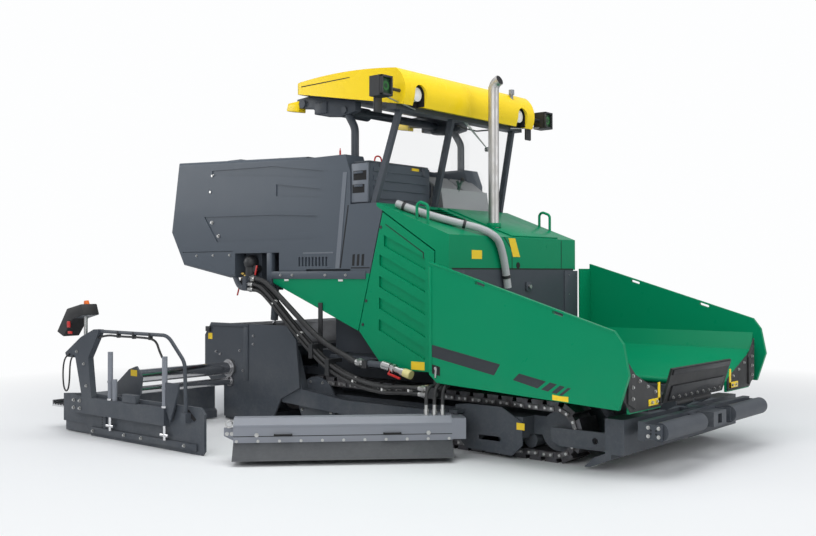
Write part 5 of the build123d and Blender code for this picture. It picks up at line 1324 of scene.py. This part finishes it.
def gate_metal(side, s):
    """Bright bolts, chrome spindles and grey sleeves of one end gate."""
    bolts = bmesh.new()
    for x in (-2.72, -2.60):
        for z in (0.30, 0.385):
            add_bolt(bolts, (x, s * GATE_BEAM, z), (0, s, 0), 0.026)
    for x, z in ((-2.42, 0.06), (-1.825, 0.075), (-1.519, 0.075), (-0.79, 0.075)):
        add_bolt(bolts, (x, s * (GATE_PLATE + 0.02), z), (0, s, 0), 0.024)
    for x, z in ((-2.47, 0.56), (-2.52, 0.80), (-2.66, 0.93)):
        add_bolt(bolts, (x, s * GATE_BEAM, z), (0, s, 0), 0.022)
    piece(f"gate_bolts_{side}", bolts, bright_bolt, f"extension_{side}")
    spindles = bmesh.new()
    for x in SPINDLES:
        add_round(spindles, (x, s * GATE_MIDDLE, 0.10), (x, s * GATE_MIDDLE, 0.249), 0.0185, 20)
        add_round(spindles, (x - 0.066, s * GATE_MIDDLE, 0.15), (x + 0.066, s * GATE_MIDDLE, 0.15), 0.018, 16)
        add_round(spindles, (x, s * GATE_MIDDLE, 0.43), (x, s * GATE_MIDDLE, 0.45), 0.034, 20)
    piece(f"gate_spindles_{side}", spindles, chrome, f"extension_{side}")
    sleeves = bmesh.new()
    for x in SPINDLES:
        add_round(sleeves, (x, s * GATE_MIDDLE, 0.45), (x, s * GATE_MIDDLE, 0.953), 0.028, 24)
        add_round(sleeves, (x, s * GATE_MIDDLE, 0.62), (x, s * GATE_MIDDLE, 0.64), 0.033, 24)
    add_round(sleeves, (-1.975, s * GATE_MIDDLE, 0.43), (-1.975, s * GATE_MIDDLE, 0.66), 0.026, 24)
    piece(f"gate_sleeves_{side}", sleeves, light_grey_paint, f"extension_{side}")


def gate_steel(side, s):
    """Gusset, runner shoe, hole row and slot of one end gate, and a plain plate on its carrier."""
    plates = bmesh.new()
    gusset = ((-1.10, 0.43), (-1.10, 0.69), (-0.86, 0.69), (-0.86, 0.60), (-0.99, 0.29), (-1.05, 0.40))
    add_plate(plates, at_y(s * 3.088, gusset), (0, s * 0.03, 0), 0.003)
    add_box(plates, (-2.46, s * GATE_PLATE, 0.035), (-0.60, s * (GATE_PLATE + 0.02), 0.105), 0.004)
    add_box(plates, (-1.80, s * GATE_INNER, 0.43), (-1.56, s * GATE_OUTER, 0.52), 0.006)
    add_box(plates, (-2.21, s * GATE_PLATE, 0.10), (-2.185, s * (GATE_PLATE + 0.012), 0.25), 0.003)
    piece(f"gate_gusset_{side}", plates, dark_paint, f"extension_{side}")
    holes = bmesh.new()
    for i in range(6):
        z = 0.115 + i * 0.026
        add_round(holes, (-2.27, s * GATE_PLATE, z), (-2.27, s * (GATE_PLATE + 0.001), z), 0.009, 14)
    slot = ((-0.80, 0.415), (-0.745, 0.44), (-0.62, 0.35), (-0.655, 0.325))
    add_strip(holes, s * GATE_PLATE, slot, s * 0.001)
    piece(f"gate_holes_{side}", holes, shadow_black, f"extension_{side}")
    label = bmesh.new()
    add_strip(label, s * 2.662, oblong(-2.33, -2.21, 0.642, 0.712), s * 0.002)
    piece(f"carrier_label_{side}", label, label_yellow, f"extension_{side}")


def gate_control(side, s):
    """Control box of the screed with its red grips, orange cap and bright post."""
    cover = bmesh.new()
    mid_x, mid_z = CONTROL_MIDDLE
    shell = [(mid_x + (x - mid_x) * 1.03, mid_z + (z - mid_z) * 1.04) for x, z in CONTROL_OUTLINE]
    add_plate(cover, at_y(s * CONTROL_INNER, shell), (0, s * CONTROL_WIDTH, 0), 0.012)
    piece(f"control_cover_{side}", cover, rubber, f"extension_{side}")
    grips = bmesh.new()
    face = Vector((0.20, 0, 0.255)).normalized()
    outwards = Vector((-face.z, 0, face.x))
    corner = Vector((-2.96, s * GATE_MIDDLE, 1.15))
    for along, across in ((0.10, 0.05), (0.10, -0.05)):
        place = corner + face * along + Vector((0, across, 0))
        add_round(grips, place, place + outwards * 0.03, 0.022, 20)
    add_box(grips, (-2.74, s * GRIP_INNER, 1.20), (-2.68, s * GRIP_OUTER, 1.27), 0.008)
    add_box(grips, (-2.72, s * GRIP_INNER, 1.13), (-2.64, s * GRIP_OUTER, 1.16), 0.006)
    piece(f"control_grips_{side}", grips, signal_red, f"extension_{side}")
    cap = bmesh.new()
    add_round(cap, (-2.52, s * GATE_MIDDLE, 1.445), (-2.53, s * GATE_MIDDLE, 1.50), 0.035, 24, 0.026)
    piece(f"control_cap_{side}", cap, signal_orange, f"extension_{side}")
    post = bmesh.new()
    add_round(post, (-2.54, s * GATE_MIDDLE, 1.075), (-2.54, s * GATE_MIDDLE, 1.325), 0.021, 24)
    add_box(post, (-2.58, s * GATE_INNER, 1.065), (-2.50, s * GATE_OUTER, 1.09), 0.006)
    piece(f"control_post_{side}", post, bright_bolt, f"extension_{side}")


def gate_lines(side, s):
    """Cable loop below the control box and the line clipped under the handrail."""
    loop = (
        (-2.80, 0.895), (-2.87, 0.87), (-2.925, 0.78), (-2.935, 0.63), (-2.915, 0.51), (-2.865, 0.465),
        (-2.815, 0.51), (-2.795, 0.63), (-2.79, 0.76), (-2.765, 0.85), (-2.72, 0.88),
    )
    route = at_y(s * CABLE_Y, loop)
    line = pipe(f"control_cable_{side}", route, CABLE_RADIUS, rubber, f"extension_{side}")
    round(run_length(line_points(line)), 2)
    rail = (
        (-2.27, 1.10), (-2.12, 1.135), (-1.9, 1.128), (-1.62, 1.132),
        (-1.33, 1.13), (-1.22, 1.10), (-1.17, 1.0), (-1.12, 0.94),
    )
    route = at_y(s * RAIL_LINE_Y, rail)
    pipe(f"rail_line_{side}", route, 0.012, rubber, f"extension_{side}")
    clips = bmesh.new()
    for x in (-1.90, -1.62, -1.33):
        add_box(clips, (x - 0.014, s * 3.085, 1.112), (x + 0.014, s * 3.13, 1.185), 0.006)
    piece(f"rail_clips_{side}", clips, black_plastic, f"extension_{side}")


for side, s in HANDS:
    gate_metal(side, s)
    gate_steel(side, s)
    gate_control(side, s)
    gate_lines(side, s)


# Spray bars: bolt row, seam, handles, rear bracket with its ring and the hose fittings

BAR_PIVOT = (1.33, 1.38)
BAR_FACE = 0.3105
BAR_ENDS = (0.08, 2.17)
BAR_FITTINGS = (0.16, 0.24, 0.32)
FITTING_ACROSS = 0.20


def on_bar(s, along, across, z):
    """A point given along a spray bar, across it and by its height."""
    way = Vector((-1, s, 0)).normalized()
    out = Vector((1, s, 0)).normalized()
    return Vector((BAR_PIVOT[0], s * BAR_PIVOT[1], z)) + way * along + out * across


def add_ring(shape, centre, axis, inner, outer, depth):
    """A flat ring that stands on a face."""
    turn = facing(centre, axis)
    profile = ((inner, 0, 0), (outer, 0, 0), (outer, 0, depth), (inner, 0, depth))
    corners = [turn @ Vector(corner) for corner in profile]
    face = shape.faces.new([shape.verts.new(corner) for corner in corners])
    bmesh.ops.spin(
        shape,
        geom=[face],
        cent=centre,
        axis=Vector(axis).normalized(),
        angle=math.tau,
        steps=32,
        use_merge=True,
    )


def dress_bar(side, s):
    """Small forms on one spray bar."""
    out = on_bar(s, 0, 1, 0) - on_bar(s, 0, 0, 0)
    way = on_bar(s, 1, 0, 0) - on_bar(s, 0, 0, 0)
    low, high = BAR_ENDS
    bolts = bmesh.new()
    for i in range(11):
        along = low + 0.03 + i * (high - low - 0.06) / 10
        add_bolt(bolts, on_bar(s, along, BAR_FACE, 0.208), out, 0.018)
    for along in (0.31, 1.95):
        add_bolt(bolts, on_bar(s, along, BAR_FACE, 0.266), out, 0.026)
    for along in (2.19, 2.235):
        add_bolt(bolts, on_bar(s, along, 0.232, 0.27), out, 0.024)
    for along in BAR_FITTINGS:
        for low_z, high_z, radius, sides in ((0.42, 0.475, 0.024, 6), (0.475, 0.52, 0.019, 18)):
            foot = on_bar(s, along, FITTING_ACROSS, low_z)
            add_round(bolts, foot, on_bar(s, along, FITTING_ACROSS, high_z), radius, sides)
    add_ring(bolts, on_bar(s, 2.215, 0.232, 0.365), out, 0.026, 0.04, 0.014)
    piece(f"bar_bolts_{side}", bolts, bright_bolt, f"spray_bar_{side}")
    lines = bmesh.new()
    seam = [on_bar(s, a, BAR_FACE, z) for a, z in ((low, 0.250), (high, 0.250), (high, 0.257), (low, 0.257))]
    add_plate(lines, seam, out * 0.001)
    for along in (0.66, 1.70):
        for end in (-0.08, 0.08):
            foot = on_bar(s, along + end, BAR_FACE, 0.268)
            add_round(lines, foot, foot + out * 0.026, 0.008, 12)
        grip = on_bar(s, along, BAR_FACE + 0.024, 0.268)
        add_round(lines, grip - way * 0.085, grip + way * 0.085, 0.008, 12)
    piece(f"bar_lines_{side}", lines, shadow_black, f"spray_bar_{side}")
    lip = bmesh.new()
    strip = [on_bar(s, a, BAR_FACE, z) for a, z in ((low, 0.340), (high, 0.340), (high, 0.344), (low, 0.344))]
    add_plate(lip, strip, out * 0.003)
    bracket = [on_bar(s, a, 0.22, z) for a, z in ((2.15, 0.19), (2.265, 0.25), (2.265, 0.33), (2.15, 0.33))]
    add_plate(lip, bracket, out * 0.012, 0.003)
    piece(f"bar_bracket_{side}", lip, light_grey_paint, f"spray_bar_{side}")


for side, s in HANDS:
    dress_bar(side, s)


# Short hoses from the couplings down to the right spray bar

BAR_HOSES = (
    ((1.08, -1.335, 0.61), (1.16, -1.335, 0.63), (1.27, -1.40, 0.70),
     (1.35, -1.54, 0.715), (1.358, -1.63, 0.66)),
    ((1.08, -1.375, 0.61), (1.15, -1.38, 0.635), (1.23, -1.46, 0.70),
     (1.29, -1.60, 0.715), (1.302, -1.685, 0.66)),
    ((1.08, -1.40, 0.56), (1.14, -1.42, 0.575), (1.19, -1.52, 0.66),
     (1.235, -1.66, 0.70), (1.245, -1.742, 0.65)),
)
BAR_HOSE_RADIUS = 0.018


def bar_hose(name, points):
    """One hose as a tube from the couplings down to the bar, baked in place."""
    guide = round_line(name, points, BAR_HOSE_RADIUS, rubber)
    line = line_points(guide)
    mesh = bpy.data.meshes.new_from_object(guide)
    bpy.data.objects.remove(guide)
    mesh.shade_smooth()
    made = bpy.data.objects.new(name, mesh)
    scene.collection.objects.link(made)
    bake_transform(made)


for i, (route, along) in enumerate(zip(BAR_HOSES, BAR_FITTINGS)):
    end = [tuple(on_bar(-1, along, FITTING_ACROSS, z)) for z in (0.55, 0.44)]
    bar_hose(f"bar_hose_{i + 1}", [*route, *end])


# Screed: collars round the guide tubes, end plate bolts and ribs, plain plate and latch

TUBE_X = -2.23
TUBE_Z = 0.64
TORQUE_Z = 0.48
END_PLATE = 1.30


def dress_screed(side, s):
    """Small forms on one end plate of the screed."""
    collars = bmesh.new()
    add_ring(collars, (TUBE_X, s * END_PLATE, TUBE_Z), (0, s, 0), 0.0775, 0.108, 0.035)
    add_ring(collars, (TUBE_X, s * END_PLATE, TORQUE_Z), (0, s, 0), 0.0475, 0.066, 0.018)
    for x, z in (
        (-2.50, 0.83), (-2.42, 0.80), (-2.05, 0.86), (-1.99, 0.62), (-2.56, 0.55),
        (-1.80, 1.05), (-1.80, 0.95),
    ):
        add_bolt(collars, (x, s * END_PLATE, z), (0, s, 0), 0.02)
    piece(f"tube_collars_{side}", collars, steel, "screed")
    ribs = bmesh.new()
    add_box(ribs, (-1.97, s * END_PLATE, 0.50), (-1.89, s * (END_PLATE + 0.012), 1.15), 0.004)
    add_box(ribs, (-2.60, s * END_PLATE, 1.15), (-1.89, s * (END_PLATE + 0.012), 1.186), 0.004)
    piece(f"end_plate_ribs_{side}", ribs, dark_paint, "screed")
    latch = bmesh.new()
    add_box(latch, (-2.68, s * END_PLATE, 1.075), (-2.60, s * (END_PLATE + 0.03), 1.14), 0.008)
    piece(f"end_plate_latch_{side}", latch, black_plastic, "screed")
    label = bmesh.new()
    add_strip(label, s * END_PLATE, oblong(-2.655, -2.575, 0.98, 1.055), s * 0.002)
    piece(f"end_plate_label_{side}", label, label_yellow, "screed")


for side, s in HANDS:
    dress_screed(side, s)


# Running gear and front: drive cover bolts, plain plates, coupling and push beam ends

COVER_FACE = 1.172
DRIVE_CENTRE = (-0.85, 0.31)
DRIVE_BOLTS = 0.255
BRACKET_FACE = 1.297
PUSH_PLATE = 1.21


def dress_running_gear(side, s):
    """Bolts and plain plates beside one track."""
    bolts = bmesh.new()
    for i in range(8):
        turn = math.tau * (i + 0.5) / 8
        x = DRIVE_CENTRE[0] + DRIVE_BOLTS * math.cos(turn)
        z = DRIVE_CENTRE[1] + DRIVE_BOLTS * math.sin(turn)
        add_bolt(bolts, (x, s * COVER_FACE, z), (0, s, 0), 0.02)
    piece(f"drive_bolts_{side}", bolts, bright_bolt, "chassis")
    labels = bmesh.new()
    add_strip(labels, s * BRACKET_FACE, oblong(1.996, 2.087, 0.299, 0.365), s * 0.002)
    piece(f"bracket_label_{side}", labels, label_yellow, "chassis")


def dress_push_beam(side, s):
    """Bolts and holes of one end plate of the push beam."""
    bolts = bmesh.new()
    for x in (3.325, 3.425):
        for z in (0.362, 0.438):
            add_bolt(bolts, (x, s * PUSH_PLATE, z), (0, s, 0), 0.022)
    piece(f"push_bolts_{side}", bolts, bright_bolt, "push_beam")
    holes = bmesh.new()
    for x in (3.35, 3.40):
        for z in (0.385, 0.415):
            add_round(holes, (x, s * PUSH_PLATE, z), (x, s * (PUSH_PLATE + 0.001), z), 0.009, 14)
    piece(f"push_holes_{side}", holes, shadow_black, "push_beam")


def dress_coupling():
    """Coupling at the end of the feed hose with its red lever and yellow cap."""
    y = FEED_Y
    dark = bmesh.new()
    add_round(dark, (0.05, y, 0.83), (0.34, y, 0.825), 0.036, 24)
    piece("coupling_pipe", dark, dark_paint, "chassis")
    bright = bmesh.new()
    add_round(bright, (0.33, y, 0.826), (0.44, y, 0.806), 0.046, 24)
    add_round(bright, (0.44, y, 0.806), (0.62, y, 0.765), 0.034, 24)
    add_round(bright, (0.47, y, 0.799), (0.50, y, 0.792), 0.05, 8)
    add_round(bright, (0.59, y, 0.772), (0.63, y, 0.763), 0.044, 24)
    piece("hose_coupling", bright, bright_bolt, "chassis")
    cap = bmesh.new()
    add_round(cap, (0.63, y, 0.763), (0.72, y, 0.742), 0.046, 24)
    piece("coupling_cap", cap, cap_yellow, "chassis")
    lever = bmesh.new()
    handle = ((0.43, 0.735), (0.60, 0.690), (0.605, 0.712), (0.44, 0.757))
    add_plate(lever, at_y(y - 0.05, handle), (0, 0.02, 0), 0.004)
    add_round(lever, (0.45, y - 0.045, 0.75), (0.47, y - 0.03, 0.79), 0.009, 12)
    piece("coupling_lever", lever, signal_red, "chassis")


for side, s in HANDS:
    dress_running_gear(side, s)
    dress_push_beam(side, s)
dress_coupling()
locker_label = bmesh.new()
add_box(locker_label, (0.0215, -0.497, 2.955), (0.0235, -0.371, 3.012))
piece("locker_label", locker_label, label_yellow, "chassis")


# Tracks: chain links with their pins along the outer side of each track

SPROCKET = Vector((-0.85, 0, 0.31))
SPROCKET_PATH = 0.27
IDLER = Vector((2.34, 0, 0.29))
IDLER_PATH = 0.25
TRACK_FACE = 1.15
SHOES = 46
LINK_INSET = 0.03
LINK_SIZE = (0.122, 0.012, 0.044)


def track_line(y):
    """The loop that the chain follows round the sprocket and the idler, as points."""
    span = IDLER - SPROCKET
    base = math.atan2(span.z, span.x)
    open_by = math.acos((SPROCKET_PATH - IDLER_PATH) / span.length)
    points = []
    for centre, radius, start in (
        (IDLER, IDLER_PATH, base - open_by),
        (SPROCKET, SPROCKET_PATH, base + open_by),
    ):
        sweep = 2 * open_by if centre is IDLER else math.tau - 2 * open_by
        for i in range(25):
            turn = start + sweep * i / 24
            reach = radius - LINK_INSET
            points.append(Vector((centre.x + reach * math.cos(turn), y, centre.z + reach * math.sin(turn))))
    return [*points, points[0].copy()]


def add_links(side, s):
    """One link plate and two pins beside every shoe."""
    line = track_line(s * TRACK_FACE)
    reach = run_length(line)
    out = Vector((0, s, 0))
    plates, pins = bmesh.new(), bmesh.new()
    for i in range(SHOES):
        centre, way = point_at(line, reach * (i + 0.5) / SHOES)
        turn = Matrix((way, out, way.cross(out))).transposed().to_4x4()
        place = Matrix.Translation(centre + out * LINK_SIZE[1] / 2) @ turn @ Matrix.Diagonal((*LINK_SIZE, 1))
        made = bmesh.ops.create_cube(plates, size=1.0, matrix=place)
        soften(plates, made["verts"], 0.004)
        for shift in (-0.036, 0.036):
            foot = centre + way * shift + out * LINK_SIZE[1]
            add_round(pins, foot, foot + out * 0.006, 0.013, 14)
    piece(f"track_links_{side}", plates, link_steel, "chassis")
    piece(f"track_pins_{side}", pins, bright_bolt, "chassis")


for side, s in HANDS:
    add_links(side, s)


# Floor

FLOOR_FADE = (4.2, 9.5)
floor_mesh = bpy.data.meshes.new("floor")
shape = bmesh.new()
bmesh.ops.create_grid(shape, x_segments=1, y_segments=1, size=60.0)
shape.to_mesh(floor_mesh)
shape.free()
floor = bpy.data.objects.new("floor", floor_mesh)
scene.collection.objects.link(floor)
floor_finish, floor_tree, floor_shader = blank_material("pale_floor")
floor_shader.inputs["Base Color"].default_value = (0.80, 0.81, 0.82, 1)
floor_shader.inputs["Roughness"].default_value = 0.75
floor_out = next(node for node in floor_tree.nodes if node.type == "OUTPUT_MATERIAL")
floor_white = floor_tree.nodes.new("ShaderNodeEmission")
floor_white.inputs["Color"].default_value = (0.985, 0.99, 0.995, 1)
floor_mix = floor_tree.nodes.new("ShaderNodeMixShader")
floor_ray = floor_tree.nodes.new("ShaderNodeLightPath")
floor_place = floor_tree.nodes.new("ShaderNodeTexCoord")
floor_range = floor_tree.nodes.new("ShaderNodeVectorMath")
floor_range.operation = "LENGTH"
floor_tree.links.new(floor_place.outputs["Object"], floor_range.inputs[0])
far = spread(floor_tree, floor_range.outputs["Value"], *FLOOR_FADE)
seen = combine(floor_tree, "MULTIPLY", far, floor_ray.outputs["Is Camera Ray"])
floor_tree.links.new(seen, floor_mix.inputs["Fac"])
floor_tree.links.new(floor_shader.outputs["BSDF"], floor_mix.inputs[1])
floor_tree.links.new(floor_white.outputs["Emission"], floor_mix.inputs[2])
floor_tree.links.new(floor_mix.outputs["Shader"], floor_out.inputs["Surface"])
floor_mesh.materials.append(floor_finish)
